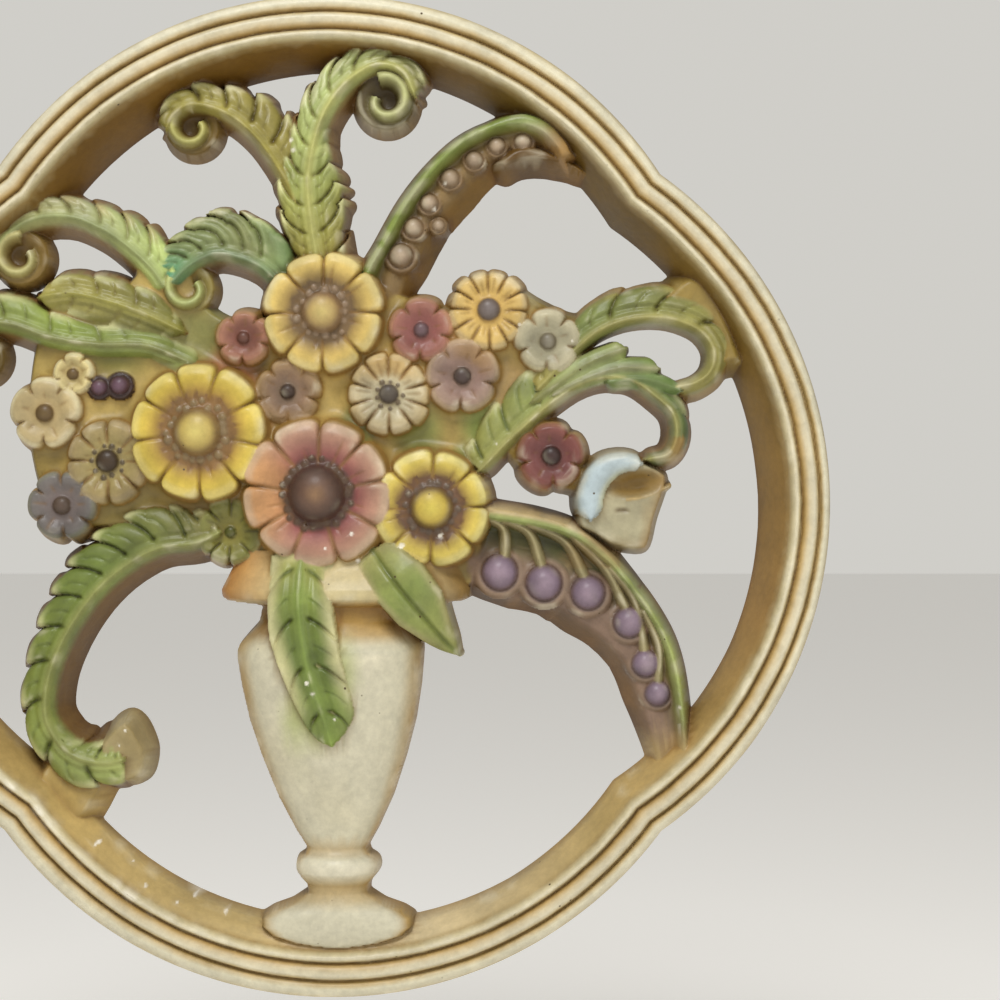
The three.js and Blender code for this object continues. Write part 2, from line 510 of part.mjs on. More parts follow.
function forkedLeaf() {

	const lobes = forkLobes.map( ( [ spine, half ] ) => leaf( {
		spine, lobed: false, steps: 3, lean: 0,
		left: [ [ 0, 2 ], [ 0.75, half ], [ 1, 0.8 ] ], right: [ [ 0, 2 ], [ 0.75, half ], [ 1, 0.8 ] ],
		crown: 13.5, brim: 11.5, draft: [ 1, 1 ],
	} ) );
	return join( [ leaf( forkStem ), leaf( forkLoop ), ...lobes ] );

}

function casting() {

	const leaves = [ tallLeaf, leftLeaf, smallLeaf, upperLeftLeaf, fanLeaf, sideLeaf, sweepingLeaf,
		vaseLeaf, pointedLeaf, upperSpray, lowerSpray ].map( leaf );
	const scrolls = [ tallScroll, leftScroll, smallScroll, upperLeftScroll, sideScroll ].map( scroll );
	const grounds = [ groundOutline, ...webOutlines ].map( ( points ) => plate( points, groundHeight ) );
	const berries = [
		...upperBerries.map( ( place ) => berry( place, 9.5 ) ),
		...lowerBerries.map( ( place ) => berry( place, 9 ) ),
		...buds.map( ( place ) => berry( place, 10 ) ),
	];
	const whole = join( [ rim(), vase(), ...grounds, ...leaves, forkedLeaf(), ...scrolls, trumpet(),
		...berries, ...blooms.map( bloom ) ] );
	const below = new THREE.BoxGeometry( 400, 400, 40 );
	below.translate( 0, 0, - 20 );
	return whole.subtract( toSolid( below ) );

}

// ---- the finished part ----

function toGeometry( solid ) {

	const { vertProperties, triVerts } = solid.getMesh();
	const geometry = new THREE.BufferGeometry();
	geometry.setAttribute( 'position', new THREE.BufferAttribute( new Float32Array( vertProperties ), 3 ) );
	geometry.setIndex( new THREE.BufferAttribute( new Uint32Array( triVerts ), 1 ) );
	return geometry;

}

const plaster = new THREE.MeshStandardMaterial( { color: plasterColour, roughness: 0.4, metalness: 0 } );
const plaque = new THREE.Mesh( toGeometry( casting() ), plaster );
plaque.name = 'plaque_casting';
plaque.rotation.x = Math.PI / 2;
plaque.position.z = - hangHeight;

const group = new THREE.Group();
group.add( plaque );

export default group;
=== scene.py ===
import math
import bpy
import bmesh
import numpy as np
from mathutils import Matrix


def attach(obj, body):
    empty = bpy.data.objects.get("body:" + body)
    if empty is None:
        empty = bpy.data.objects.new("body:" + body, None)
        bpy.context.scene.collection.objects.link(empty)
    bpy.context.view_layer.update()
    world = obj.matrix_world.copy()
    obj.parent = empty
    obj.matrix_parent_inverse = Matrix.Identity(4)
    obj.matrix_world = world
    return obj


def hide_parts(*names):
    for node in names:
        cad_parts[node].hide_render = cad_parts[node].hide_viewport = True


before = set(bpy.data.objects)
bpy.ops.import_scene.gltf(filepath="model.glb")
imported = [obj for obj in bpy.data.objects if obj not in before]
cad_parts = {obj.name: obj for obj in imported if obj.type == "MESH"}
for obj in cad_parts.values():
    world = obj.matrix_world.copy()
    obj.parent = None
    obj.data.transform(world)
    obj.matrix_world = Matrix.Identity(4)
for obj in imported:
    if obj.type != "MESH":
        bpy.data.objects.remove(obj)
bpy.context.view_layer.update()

# The plaque is modelled as a caster carves it: one sheet of relief, sculpted over a fine grid, then
# shut by its side and its flat back. Bench places are millimetres from the middle of the frame, with
# x to the right and y up, and height is measured off the back. Paint is laid with the relief.
bench = {"step": 0.4, "half": 150.0, "hang": 136.0,
         "open": -6.0,  # the sheet's height where the plaque is cut through
         "tallest": 25.0, "easing": 0.7}


def linear(code):
    values = [int(code[i:i + 2], 16) / 255 for i in (1, 3, 5)]
    return np.array([v / 12.92 if v <= 0.04045 else ((v + 0.055) / 1.055) ** 2.4 for v in values])


line = np.arange(-bench["half"], bench["half"] + bench["step"] / 2, bench["step"])
sheetX, sheetY = np.meshgrid(line, line)
height = np.full(sheetX.shape, bench["open"])
paint = np.zeros(sheetX.shape + (3,))
paint[:] = linear("#8a7038")


def smooth(field, size):
    # a soft blur with a radius in millimetres
    fx = np.fft.fftfreq(field.shape[1], bench["step"])
    fy = np.fft.fftfreq(field.shape[0], bench["step"])
    fall = np.exp(-2 * (math.pi * size) ** 2 * (fx[None, :] ** 2 + fy[:, None] ** 2))
    return np.real(np.fft.ifft2(np.fft.fft2(field) * fall))


def grain(size, seed):
    # even noise with blobs of about this size, mostly between -1 and 1
    field = smooth(np.random.default_rng(seed).standard_normal(sheetX.shape), size)
    return field / (2 * field.std())


def blend(a, b, t):
    return a + (b - a) * (t[..., None] if np.ndim(b) > np.ndim(t) or np.ndim(a) > np.ndim(t) else t)


def ramp(value, low, high):
    t = np.clip((value - low) / (high - low), 0, 1)
    return t * t * (3 - 2 * t)


def coloursAlong(stops, t):
    # a colour for each place t, from stops of (place, colour)
    places = [place for place, code in stops]
    codes = np.array([linear(code) for place, code in stops])
    return np.stack([np.interp(t, places, codes[:, k]) for k in range(3)], axis=-1)


def windowOf(lowX, highX, lowY, highY):
    spot = [int(np.clip((v + bench["half"]) / bench["step"], 0, len(line))) for v in (lowX, highX, lowY, highY)]
    return slice(spot[2], spot[3] + 1), slice(spot[0], spot[1] + 1)


def windowRound(points, margin):
    low, high = points.min(axis=0) - margin, points.max(axis=0) + margin
    return windowOf(low[0], high[0], low[1], high[1])


def even(code, x):
    # one colour over a whole window
    return np.broadcast_to(linear(code), x.shape + (3,))


def lay(area, h, colour, soft=0.4):
    # adds a form to the sheet: the higher one wins, with a soft fillet where they meet
    old = height[area]
    t = np.clip(0.5 + (h - old) / (2 * soft), 0, 1)
    height[area] = old + (h - old) * t + soft * t * (1 - t)
    paint[area] = blend(paint[area], colour, t * t * (3 - 2 * t))


def sideways(top, inside, draft, rounding=1.0, base=10.0):
    # a form's height: its top, a rounded edge, and a side that runs out by draft down to the back
    edge = np.clip(rounding - inside, 0, rounding)
    inner = top - 0.5 * edge * edge / rounding
    outer = top - 0.5 * rounding + inside * base / draft
    return np.where(inside > 0, inner, outer)


def between(p0, p1, p2, p3, u):
    # a smooth run from p1 to p2, led by the points on either side
    return 0.5 * (2 * p1 + (p2 - p0) * u + (2 * p0 - 5 * p1 + 4 * p2 - p3) * u ** 2
                  + (3 * p1 - p0 - 3 * p2 + p3) * u ** 3)


def smoothCurve(points, count=160):
    pts = np.array([points[0]] + list(points) + [points[-1]], dtype=float)
    pts[0] = 2 * pts[1] - pts[2]
    pts[-1] = 2 * pts[-2] - pts[-3]
    out = []
    spans = len(points) - 1
    for k in range(spans):
        u = np.linspace(0, 1, max(4, count // spans), endpoint=k == spans - 1)[:, None]
        out.append(between(*pts[k:k + 4], u))
    track = np.concatenate(out)
    run = np.concatenate([[0], np.cumsum(np.hypot(*np.diff(track, axis=0).T))])
    ahead = np.gradient(track, axis=0)
    ahead /= np.hypot(ahead[:, 0], ahead[:, 1])[:, None]
    return {"track": track, "run": run, "ahead": ahead, "long": run[-1]}


def follow(curve, x, y, batch=20000):
    # place along the curve in mm, distance to its left, and how far past an end each point lies
    track = curve["track"]
    flatX, flatY = x.ravel(), y.ravel()
    best = np.empty(flatX.shape, dtype=int)
    for i in range(0, len(flatX), batch):
        some = slice(i, i + batch)
        apart = (flatX[some, None] - track[None, :, 0]) ** 2 + (flatY[some, None] - track[None, :, 1]) ** 2
        best[some] = apart.argmin(axis=1)
    offX, offY = flatX - track[best, 0], flatY - track[best, 1]
    ahead = curve["ahead"][best]
    forward = offX * ahead[:, 0] + offY * ahead[:, 1]
    left = offY * ahead[:, 0] - offX * ahead[:, 1]
    place = curve["run"][best] + forward
    past = np.maximum(-place, place - curve["long"])
    return [v.reshape(x.shape) for v in (place, left, past)]


rim = {
    "lobeRadius": 118.0, "lobeShift": 27.0, "wall": 18.0,
    "bead": 4.5,  # the outer bead takes up the swell of the outline
    # depth in from the outer edge and height: bead, groove, band, groove, bead, sloping wall
    "section": [(-3, -8), (0, 12.6), (0.5, 15), (1.4, 16.6), (2.6, 17.2), (3.7, 17), (4.25, 16.4), (4.65, 15.2),
                (5.05, 15.9), (5.5, 17.3), (6.5, 18), (8, 17.9), (9, 17.3), (9.55, 16.5), (9.9, 15.7), (10.3, 16.6),
                (10.9, 17.8), (11.8, 18), (12.7, 16.9), (13.3, 15.2)],
    "colours": [(-1, "#a7915f"), (0.6, "#c3b48c"), (1.6, "#d0c9af"), (3, "#d0c9ad"), (3.9, "#bea778"),
                (4.6, "#987f48"), (5.3, "#baa778"), (6.2, "#d0c7ab"), (7.6, "#cec4a6"), (8.7, "#bfa572"),
                (9.5, "#a2844b"), (9.9, "#806532"), (10.5, "#bfb084"), (11.4, "#d2c9ad"), (12.6, "#c7ba92"),
                (13.6, "#9f8550")],
    # the wall's foot wanders: degrees round from the right and how far it runs in
    "foot": [(-180, 1.4), (-130, 2.8), (-100, 1.9), (-65, -0.6), (-20, -0.2), (5, 1.4), (45, 1.6), (60, 0.6),
             (85, -1), (110, 0.2), (130, 0.8), (180, 1.4)],
    # below, the wall ends in a ledge this high over the opening
    "ledge": [(-180, 1.5), (-150, 2.5), (-120, 7), (-90, 9.5), (-60, 7), (-35, 3), (0, 0.5), (90, 0), (150, 0.5),
              (180, 1.5)],
    # the wall's brown wash, with painted shade: darkest round the top of the wall, which faces down, and paler below
    "wash": [(-180, "#a08043"), (-130, "#b0965c"), (-100, "#b8a16c"), (-78, "#c6b48c"), (-50, "#b99f65"),
             (-15, "#957441"), (20, "#705722"), (60, "#654e1a"), (90, "#694a13"), (130, "#6b4c14"), (165, "#80622a"),
             (180, "#a08043")],
    # the outline stands out a little at the top, and the lines of the moulding wander on their own
    "swell": [(-180, 1.2), (-140, 0), (-110, -0.3), (-90, -0.3), (-60, 0), (-30, 0.8), (0, 0.5), (25, 0.2), (45, 0),
              (60, 1.6), (75, 2.7), (90, 3.2), (105, 3.5), (120, 3.4), (140, 2.4), (165, 1.4), (180, 1.2)],
    "drift": [(-180, -1), (-150, 0.5), (-125, 1.4), (-105, 1.4), (-75, 0.5), (-40, -0.8), (-15, -1.5), (0, -1.8),
              (15, -1.1), (35, 0), (45, -0.2), (60, -1.1), (75, -1.9), (90, -2.6), (105, -3.1), (120, -3.2),
              (150, -2.2), (180, -1)],
}


def swellAt(x, y):
    return np.interp(np.degrees(np.arctan2(y, x)), *zip(*rim["swell"]))


def lobeMiddle(x, y):
    # the middle of the lobe that each point belongs to
    turn = np.round(np.arctan2(y, x) / (math.pi / 2)) * (math.pi / 2)
    return rim["lobeShift"] * np.cos(turn), rim["lobeShift"] * np.sin(turn)


def lobeDepth(x, y):
    # distance in from the outer edge of the four-lobed outline
    cx, cy = lobeMiddle(x, y)
    return rim["lobeRadius"] + swellAt(x, y) - np.hypot(x - cx, y - cy)


def mouldingDepth(x, y):
    # place across the moulding, its lines drifting in and out round the frame
    swell = swellAt(x, y)
    drift = np.interp(np.degrees(np.arctan2(y, x)), *zip(*rim["drift"]))
    depth = lobeDepth(x, y)
    bead = rim["bead"]
    return np.where(depth < bead + drift + swell, depth * bead / (bead + drift + swell), depth - swell - drift)


def makeRim():
    depth = lobeDepth(sheetX, sheetY) - swellAt(sheetX, sheetY)
    place = mouldingDepth(sheetX, sheetY)
    way = np.degrees(np.arctan2(sheetY, sheetX))
    foot = rim["wall"] + np.interp(way, *zip(*rim["foot"]))
    places, heights = zip(*rim["section"])
    crest = np.interp(place, places, heights)
    last, drop = places[-1], heights[-1]
    down = (place - last) / (foot + place - depth - last)
    ledge = np.interp(way, *zip(*rim["ledge"]))
    wall = drop + (ledge - drop) * down + 0.8 * np.sin(np.clip(down, 0, 1) * math.pi)
    wall = np.where(down > 1, ledge - 7 * (depth - foot), wall)
    h = np.where(place < last, crest, wall)
    h = h + 0.12 * grain(6, 3)
    colour = coloursAlong(rim["colours"], place + 0.25 * grain(3, 5) + 0.15 * grain(0.8, 6))
    # the wall's brown wash by bearing, with painted shade darkening the top of the wall
    wallWashAndShade = coloursAlong(rim["wash"], way) * (1 + 0.12 * grain(4, 7)[..., None])
    colour = blend(colour, wallWashAndShade, ramp(place, 12.4, 14.6))
    h = np.where(depth > foot + 3, bench["open"], h)
    lay((slice(None), slice(None)), h, colour)
    print("frame modelled")


vase = {
    # rows from the lip down: place up the plaque, half width, height of its front
    "rows": [(-16, 32.5, 14.5), (-19, 33.5, 17.5), (-22, 35, 20), (-25.5, 36.7, 22.2), (-28, 36.4, 22.4),
             (-29.2, 34.5, 21), (-30.5, 21.4, 18), (-35, 21.8, 18), (-38.5, 24.6, 20), (-41.5, 26.8, 22),
             (-43.5, 27.3, 23.3), (-46, 27.2, 23.6), (-54, 26.2, 23), (-64, 24.3, 22), (-75, 21, 20),
             (-87, 16.6, 17.5), (-96.5, 11.9, 15.5), (-101.5, 8.9, 14), (-103.2, 9.4, 15), (-104.3, 11.4, 16.8),
             (-106.3, 12.4, 17.6), (-108.5, 12.2, 17.4), (-110.5, 10.8, 16), (-112.3, 9.2, 14.6),
             (-114.5, 8.9, 14.6), (-117.5, 13.5, 15.6), (-119.5, 19, 16.3), (-121.5, 22, 16.8), (-124, 22, 16.9),
             (-126.5, 19, 16.6), (-128.4, 13, 16.1), (-129.4, 7, 15.8), (-129.9, 1.5, 15.6)],
    # how far its middle line leans, and how thick its edges are
    "axis": [(-130, 1.5), (-106, 1.2), (-45, -1.2), (-30.5, 0.4), (-29, 3.6), (-19, 3.6)],
    "backing": [(-129.5, 15), (-127, 14.2), (-124, 12.6), (-121, 10.4), (-118, 6)],
    "draft": 14,
    "cream": "#c9c3aa", "tan": "#a8853f", "dust": "#b9ab7c", "collar": "#ab8c4c", "groove": "#7c642f",
    # shine and ringShine are the colours of painted highlights
    "green": "#a5ad68", "shine": "#e6ddc0", "ringShine": "#dcd5bd",
    # colours from the left edge of each part to its right edge
    "lip": [(-1, "#a9713a"), (-0.85, "#b88a4c"), (-0.5, "#c4b07a"), (0, "#c8b888"), (0.6, "#b5a26e"), (0.9, "#8a6d3a")],
    "neck": [(-1, "#7a5a26"), (0, "#a07f3e"), (0.6, "#a8843f"), (1, "#86622a")],
}


def makeVase():
    area = windowOf(-42, 46, -132, -12)
    x, y = sheetX[area], sheetY[area]
    rows = np.array(vase["rows"][::-1])
    half = np.interp(y, rows[:, 0], rows[:, 1])
    front = np.interp(y, rows[:, 0], rows[:, 2])
    axis = np.interp(y, *zip(*vase["axis"]))
    across = (x - axis) / half
    # the front is thrown nearly round, with soft upright facets
    facets = 0.18 * np.cos(across * 9) * ramp(-y, 44, 52) * (1 - ramp(-y, 92, 98))
    flat = ramp(-y, 116, 120)
    bulge = np.clip(1 - across * across, 0, 1) ** (0.42 - 0.1 * flat)
    backing = np.interp(y, *zip(*vase["backing"]))
    h = backing + (front - backing + facets) * bulge
    out = (np.abs(x - axis) - half)
    h = np.where(out > 0, backing - out * vase["draft"], h)
    h = np.where((y > -14) | (y < -129.8), bench["open"], h)
    # tan wash gathers at the edges, under the lip, at the waist and below the collar
    tint = ramp(np.abs(across), 0.78, 1.0)
    tint = tint + 0.8 * ramp(-np.abs(y + 33), -6, -2.5) + 0.5 * ramp(-np.abs(y + 101.5), -3, -0.5)
    tint = tint + 0.5 * ramp(-np.abs(y + 112.8), -2.5, -0.5) + 0.35 * ramp(y, -27.5, -20)
    tint = np.clip(tint * (1 + 0.35 * grain(3, 11)[area]), 0, 1)
    colour = blend(even(vase["cream"], x), linear(vase["tan"]), 0.85 * tint)
    colour = blend(colour, linear(vase["dust"]), 0.25 * ramp(grain(9, 12)[area], 0.2, 1))
    lipped = ramp(y, -29.5, -28)
    colour = blend(colour, coloursAlong(vase["lip"], across), 0.9 * lipped)
    neck = (1 - ramp(np.abs(y + 34.5), 3, 8)) * (1 - lipped)
    colour = blend(colour, coloursAlong(vase["neck"], across), 0.85 * neck)
    colour = blend(colour, linear(vase["collar"]), 0.6 * (1 - ramp(np.abs(y + 113.5), 2, 6)))
    # painted highlights: a pale streak on the right of the shoulder and a pale band round the collar
    shine = np.exp(-((y + 45.2) / 1.1) ** 2) * ramp(across, -0.2, 0.3) * (1 - ramp(across, 0.55, 0.8))
    colour = blend(colour, linear(vase["shine"]), 0.7 * shine)
    colour = blend(colour, linear(vase["ringShine"]), 0.75 * np.exp(-((y + 107.2) / 2.6) ** 2))
    # a groove runs round the foot, just inside its edge
    rimmed = np.exp(-((half - np.abs(x - axis)) / 0.7) ** 2) * ramp(-y, 118, 121)
    h = h - 0.9 * rimmed
    colour = blend(colour, linear(vase["groove"]), 0.8 * rimmed)
    # a green haze of paint lies round the hanging leaf
    around = np.hypot((x + 3.2 - 0.32 * (y + 56)) / 11, (y + 56) / 19)
    colour = blend(colour, linear(vase["green"]), 0.75 * (1 - ramp(around, 0.55, 1.1)))
    lay(area, h, colour, 0.5)
    print("vase modelled")


# what a leaf has when its own dictionary says nothing else
usualLeaf = {"lean": 0.45, "scallop": 0.26, "draft": (3, 3), "fingers": 1, "taper": (3, 3), "veins": 1, "fade": 0,
             "cuts": 1, "ridge": 1.3, "ribbed": 2.6, "hem": 2.2, "paleness": 0.75, "greenEnd": 0,
             "deep": "#5d5d24", "pale": "#cfcd9a", "rib": "#b9bf74", "side": "#86683a"}


def edgeWidth(tips, t, scallop, fingers):
    places, widths = zip(*tips)
    w = np.interp(t, places, widths)
    phase = np.interp(t, places, np.arange(len(tips))) * fingers
    part = (phase - 0.3) % 1
    lobe = np.sin(math.pi * part ** 1.4) ** 0.38
    if len(tips) < 4:
        # a plain edge has no lobes
        lobe = np.ones_like(t)
    depth = scallop * np.clip((w - 2.2) / 2, 0, 1)
    return w * (1 - depth * (1 - lobe)), lobe, part


def steady(value, t):
    # a height that changes along the leaf, or one for all of it
    return np.interp(t, *zip(*value)) if isinstance(value, list) else value


def roundEnd(near):
    return np.sqrt(np.clip(1 - (1 - near) ** 2, 0.02, 1))


def makeLeaf(own):
    leaf = {**usualLeaf, **own}
    curve = smoothCurve(leaf["spine"])
    area = windowRound(curve["track"], 6 + max(w for t, w in leaf["left"] + leaf["right"]))
    x, y = sheetX[area], sheetY[area]
    place, left, past = follow(curve, x, y)
    away = np.abs(left)
    t = np.clip(place / curve["long"], 0, 1)
    begin, ending = leaf["taper"]
    nearStart, nearEnd = np.clip(place / begin, 0, 1), np.clip((curve["long"] - place) / ending, 0, 1)
    for k in range(2):
        widthL, lobeL, partL = edgeWidth(leaf["left"], t, leaf["scallop"], leaf["fingers"])
        widthR, lobeR, partR = edgeWidth(leaf["right"], t, leaf["scallop"], leaf["fingers"])
        width = np.where(left > 0, widthL, widthR)
        width = width * roundEnd(nearStart) * roundEnd(nearEnd)
        s = np.clip(away / np.maximum(width, 0.3), 0, 1.6)
        # the lobes lean forward, more so near their tips
        t = np.clip((place - leaf["lean"] * width * np.minimum(s, 1.2) ** 2) / curve["long"], 0, 1)
    lobe = np.where(left > 0, lobeL, lobeR)
    part = np.where(left > 0, partL, partR)
    wide = np.clip((width - 2.6) / 2.5, 0, 1)
    bladed = wide * leaf["veins"]
    crown, brim = steady(leaf["crown"], t), steady(leaf["brim"], t)
    inner = np.minimum(s, 1)
    # the carved lines between the lobes, and a finer one down each lobe
    lobes = (max(len(leaf["left"]), len(leaf["right"])) - 1) * leaf["fingers"]
    fingerLong = curve["long"] / max(1, lobes)
    cutLine = np.exp(-(np.minimum(part, 1 - part) * fingerLong / 0.75) ** 2) * bladed * ramp(inner, 0.12, 0.3)
    cutLine = cutLine * (1 - leaf["fade"] * ramp(inner, 0.55, 0.8)) * leaf["cuts"]
    fineLine = np.exp(-((part - 0.55) * fingerLong / 0.5) ** 2) * bladed
    fineLine = fineLine * ramp(inner, 0.2, 0.4) * (1 - ramp(inner, 0.75, 0.95))
    # the blade sinks beside its rib and swells again
    top = crown + (brim - crown) * inner ** 2
    ridge = leaf["ridge"]
    top = top - 0.8 * bladed * np.exp(-((away - ridge - 1.6) / 1.1) ** 2)
    top = top - 1.1 * cutLine - 0.45 * fineLine - 0.5 * bladed * (1 - lobe) * inner * (1 - leaf["fade"])
    top = top + 0.5 * bladed * np.sin(math.pi * part) * inner * (1 - 0.6 * inner)
    top = top + 0.35 * leaf["veins"] * np.cos(away * 2 * math.pi / 2.3) * np.exp(-(away / leaf["ribbed"]) ** 2)
    if "creased" in leaf:
        top = top - 1.1 * np.exp(-(away / 0.8) ** 2)
    inside = np.minimum(width - away, 0.6 - past * 1.2)
    h = sideways(top, inside, np.where(left > 0, *leaf["draft"]), 1.0, 10.5)
    # paint: green blade, pale edges, a bright rib, and a brown side
    blade = coloursAlong(leaf["blade"], t)
    blade = blend(blade, linear(leaf["deep"]), np.clip(0.75 * cutLine + 0.35 * fineLine, 0, 1))
    pale = (1 - leaf["greenEnd"] * ramp(t, 0.5, 0.85)) * ramp(-inside, -leaf["hem"], -0.2)
    pale = pale * (ramp(part, 0.25, 0.8) if leaf["scallop"] > 0.1 else 1) * wide
    blade = blend(blade, linear(leaf["pale"]), leaf["paleness"] * pale)
    blade = blend(blade, linear(leaf["rib"]), 0.85 * np.exp(-(away / (ridge * 1.1)) ** 2))
    blade = blade * (1 + 0.16 * grain(1.6, 21)[area][..., None])
    colour = blend(blade, linear(leaf["side"]), ramp(-inside, -0.2, 0.9))
    lay(area, h, colour)


def makeScroll(scroll):
    cx, cy = scroll["at"]
    radius, top, floor, turns = scroll["radius"], scroll["top"], scroll["floor"], scroll["turns"]
    area = windowOf(cx - radius - 4, cx + radius + 4, cy - radius - 4, cy + radius + 4)
    x, y = sheetX[area] - cx, sheetY[area] - cy
    away = np.hypot(x, y)
    turn = (scroll.get("hand", 1) * (np.arctan2(y, x) - scroll["start"]) / (2 * math.pi)) % 1
    ridge = 0.2 * radius
    # a bowl with a raised rib winding down into it
    h = floor + 2.2 * ramp(away, 0.3 * radius, 0.9 * radius) - 1.2
    near = np.zeros_like(away)
    for winding in range(2):
        total = turn + winding
        t = np.clip(total / turns, 0, 1)
        middle = (radius - ridge) + (0.36 * radius - radius + ridge) * t ** 1.3
        thick = ridge * (1 - 0.1 * t)
        off = np.abs(away - middle)
        crest = top + (floor + 2.5 - top) * t ** 1.6
        bead = crest - 2.2 * (off / thick) ** 2
        bead = np.where((total > turns) | (off > 1.9 * thick), bench["open"], bead)
        h = np.maximum(h, bead)
        near = np.maximum(near, np.where(total > turns, 0, np.exp(-(off / thick) ** 2)))
    inside = radius - away
    h = sideways(h, inside, 2.0, 0.8, 10)
    colour = blend(even(scroll["hollow"], x), linear(scroll["ridge"]), near)
    colour = blend(colour, linear("#8c7240"), ramp(-inside, -0.3, 0.8))
    colour = colour * (1 + 0.14 * grain(1.6, 22)[area][..., None])
    lay(area, h, colour, 0.5)


usualBloom = {"twist": 0, "tilt": (0, 0), "cup": 1.2, "pale": "#e8dfb8", "line": "#7d5c2c", "patch": [], "beads": []}


def makeBloom(own):
    bloom = {**usualBloom, **own}
    cx, cy = bloom["at"]
    radius, count, face, dome = bloom["radius"], bloom["petals"], bloom["face"], bloom["dome"]
    area = windowOf(cx - radius - 3, cx + radius + 3, cy - radius - 3, cy + radius + 3)
    x, y = sheetX[area] - cx, sheetY[area] - cy
    away = np.hypot(x, y)
    angle = np.arctan2(x, -y) - bloom["twist"]
    rng = np.random.default_rng(int(1000 + abs(cx * 7) + abs(cy * 13)))
    # each petal is a little wider, longer and higher or lower than the next
    wobble = 0.12 * np.sin(angle * 2 + rng.uniform(0, 6)) / count * 3
    beat = (angle + wobble) * count / (2 * math.pi)
    petal = np.floor(beat).astype(int) % count
    mid = beat - np.floor(beat) - 0.5
    seamGap = (0.5 - np.abs(mid)) * 2 * math.pi / count * away
    long = 1 + rng.uniform(-0.035, 0.035, count)[petal]
    lift = rng.uniform(-0.35, 0.35, count)[petal] * min(1, radius / 14)
    # a bloom of few petals has broad ones, parted only near the edge
    broad = count < 7
    notch = np.abs(2 * mid) ** (4.5 if broad else 6)
    edge = radius * long * (1 - bloom.get("gap", 0.17 if broad else 0.12) * notch)
    floor = face - bloom["cup"]
    share = away / edge
    up = ramp(away, 1.15 * dome, 0.78 * radius)
    top = floor + (face + 0.5 - floor) * up - 1.5 * ramp(share, 0.8, 1.02) ** 1.5
    belly = 0.45 * min(1, radius / 12)
    top = top + lift * up + belly * (0.35 - (2 * mid) ** 2) * ramp(share, 0.25, 0.75)
    cut = ramp(share, 0.62, 0.85) if broad else ramp(share, 0.38, 0.55)
    groove = np.exp(-(seamGap / (0.3 + 0.014 * radius)) ** 2) * cut
    top = top - 1.15 * min(1, radius / 12) * groove
    # short creases run out from the middle of each petal
    crease = rng.uniform(-0.22, 0.22, count)[petal]
    reach = rng.uniform(0.5, 0.85, count)[petal]
    fold = np.exp(-((mid - crease) * 2 * math.pi / count * away / 0.45) ** 2)
    fold = fold * ramp(share, 0.38, 0.5) * (1 - ramp(share, reach - 0.1, reach + 0.08))
    top = top - 0.5 * min(1, radius / 14) * fold
    tiltX, tiltY = bloom["tilt"]
    top = top + x * tiltX + y * tiltY
    h = sideways(top, (edge - away), 2.0, 0.7, 11)
    colour = coloursAlong(bloom["colours"], share)
    for way, wide, code in bloom["patch"]:
        turn = np.cos(angle + bloom["twist"] - math.radians(way + 90))
        stained = ramp(turn, math.cos(math.radians(wide)), 1) * ramp(share, 0.35, 0.6)
        colour = blend(colour, linear(code), 0.8 * stained)
    tipped = ramp(share, 0.84, 0.95) * ramp(-notch, -0.5, -0.05)
    colour = blend(colour, linear(bloom["pale"]), 0.65 * tipped)
    seam = np.exp(-(seamGap / (0.3 + 0.012 * radius)) ** 2) * cut
    colour = blend(colour, linear(bloom["line"]), 0.75 * seam)
    colour = blend(colour, linear(bloom["line"]), 0.4 * fold)
    colour = colour * (1 + 0.15 * grain(1.8, 31)[area][..., None])
    colour = blend(colour, linear("#a38448"), ramp(away - edge, -0.3, 0.7))
    # dome, and a ring of stamen beads round it
    domeWide = 1.2 * dome
    ball = floor + 0.95 * dome * np.sqrt(np.clip(1 - (away / domeWide) ** 2, 0, 1)) + x * tiltX + y * tiltY
    h = np.where(away < domeWide, np.maximum(h, ball), h)
    domed = ramp(-away, -1.25 * dome, -1.02 * dome)
    colour = blend(colour, coloursAlong(bloom["domeColours"], away / dome), domed)
    for ring, beads, size, code in bloom["beads"]:
        for k in range(beads):
            turn = 2 * math.pi * k / beads + rng.uniform(-0.5, 0.5) * 2 / beads
            out = ring + rng.uniform(-0.12, 0.12) * ring
            bx, by = out * math.cos(turn), out * math.sin(turn)
            wide = size * rng.uniform(0.75, 1.2)
            off = np.hypot(x - bx, y - by) / wide
            under = floor + 0.3 + bx * tiltX + by * tiltY
            lump = under + wide * 0.85 * np.sqrt(np.clip(1 - off ** 2, 0, 1))
            h = np.where(off < 1, np.maximum(h, lump), h)
            colour = blend(colour, linear(code), 0.9 * ramp(-off, -1.15, -0.7))
    lay(area, h, colour, 0.3)


def makeBerry(row, at):
    cx, cy, radius = at
    area = windowOf(cx - 1.6 * radius, cx + 1.6 * radius, cy - 1.6 * radius, cy + 1.6 * radius)
    x, y = sheetX[area] - cx, sheetY[area] - cy
    share = np.hypot(x, y) / radius
    h = np.where(share < 1, row["height"] + radius * np.sqrt(np.clip(1 - share ** 2, 0, 1)), bench["open"])
    # a fold of the pod stands round each berry, higher on its lower side
    fold = row["height"] + (0.16 - 0.2 * y / radius) * radius - 1.6 * ((share - 1.14) / 0.34) ** 2
    h = np.maximum(h, np.where(share < 1.5, fold, bench["open"]))
    # each berry's colour is lighter in its middle and darker toward its edge: a painted highlight and painted shade
    colour = coloursAlong(row["colours"], share) * (1 + 0.15 * grain(1.5, 41)[area][..., None])
    lay(area, h, colour, 0.9)


def closedCurve(ring, steps=5):
    out = []
    n = len(ring)
    for k in range(n):
        for u in np.linspace(0, 1, steps, endpoint=False):
            out.append(between(ring[k - 1], ring[k], ring[(k + 1) % n], ring[(k + 2) % n], u))
    return np.array(out)


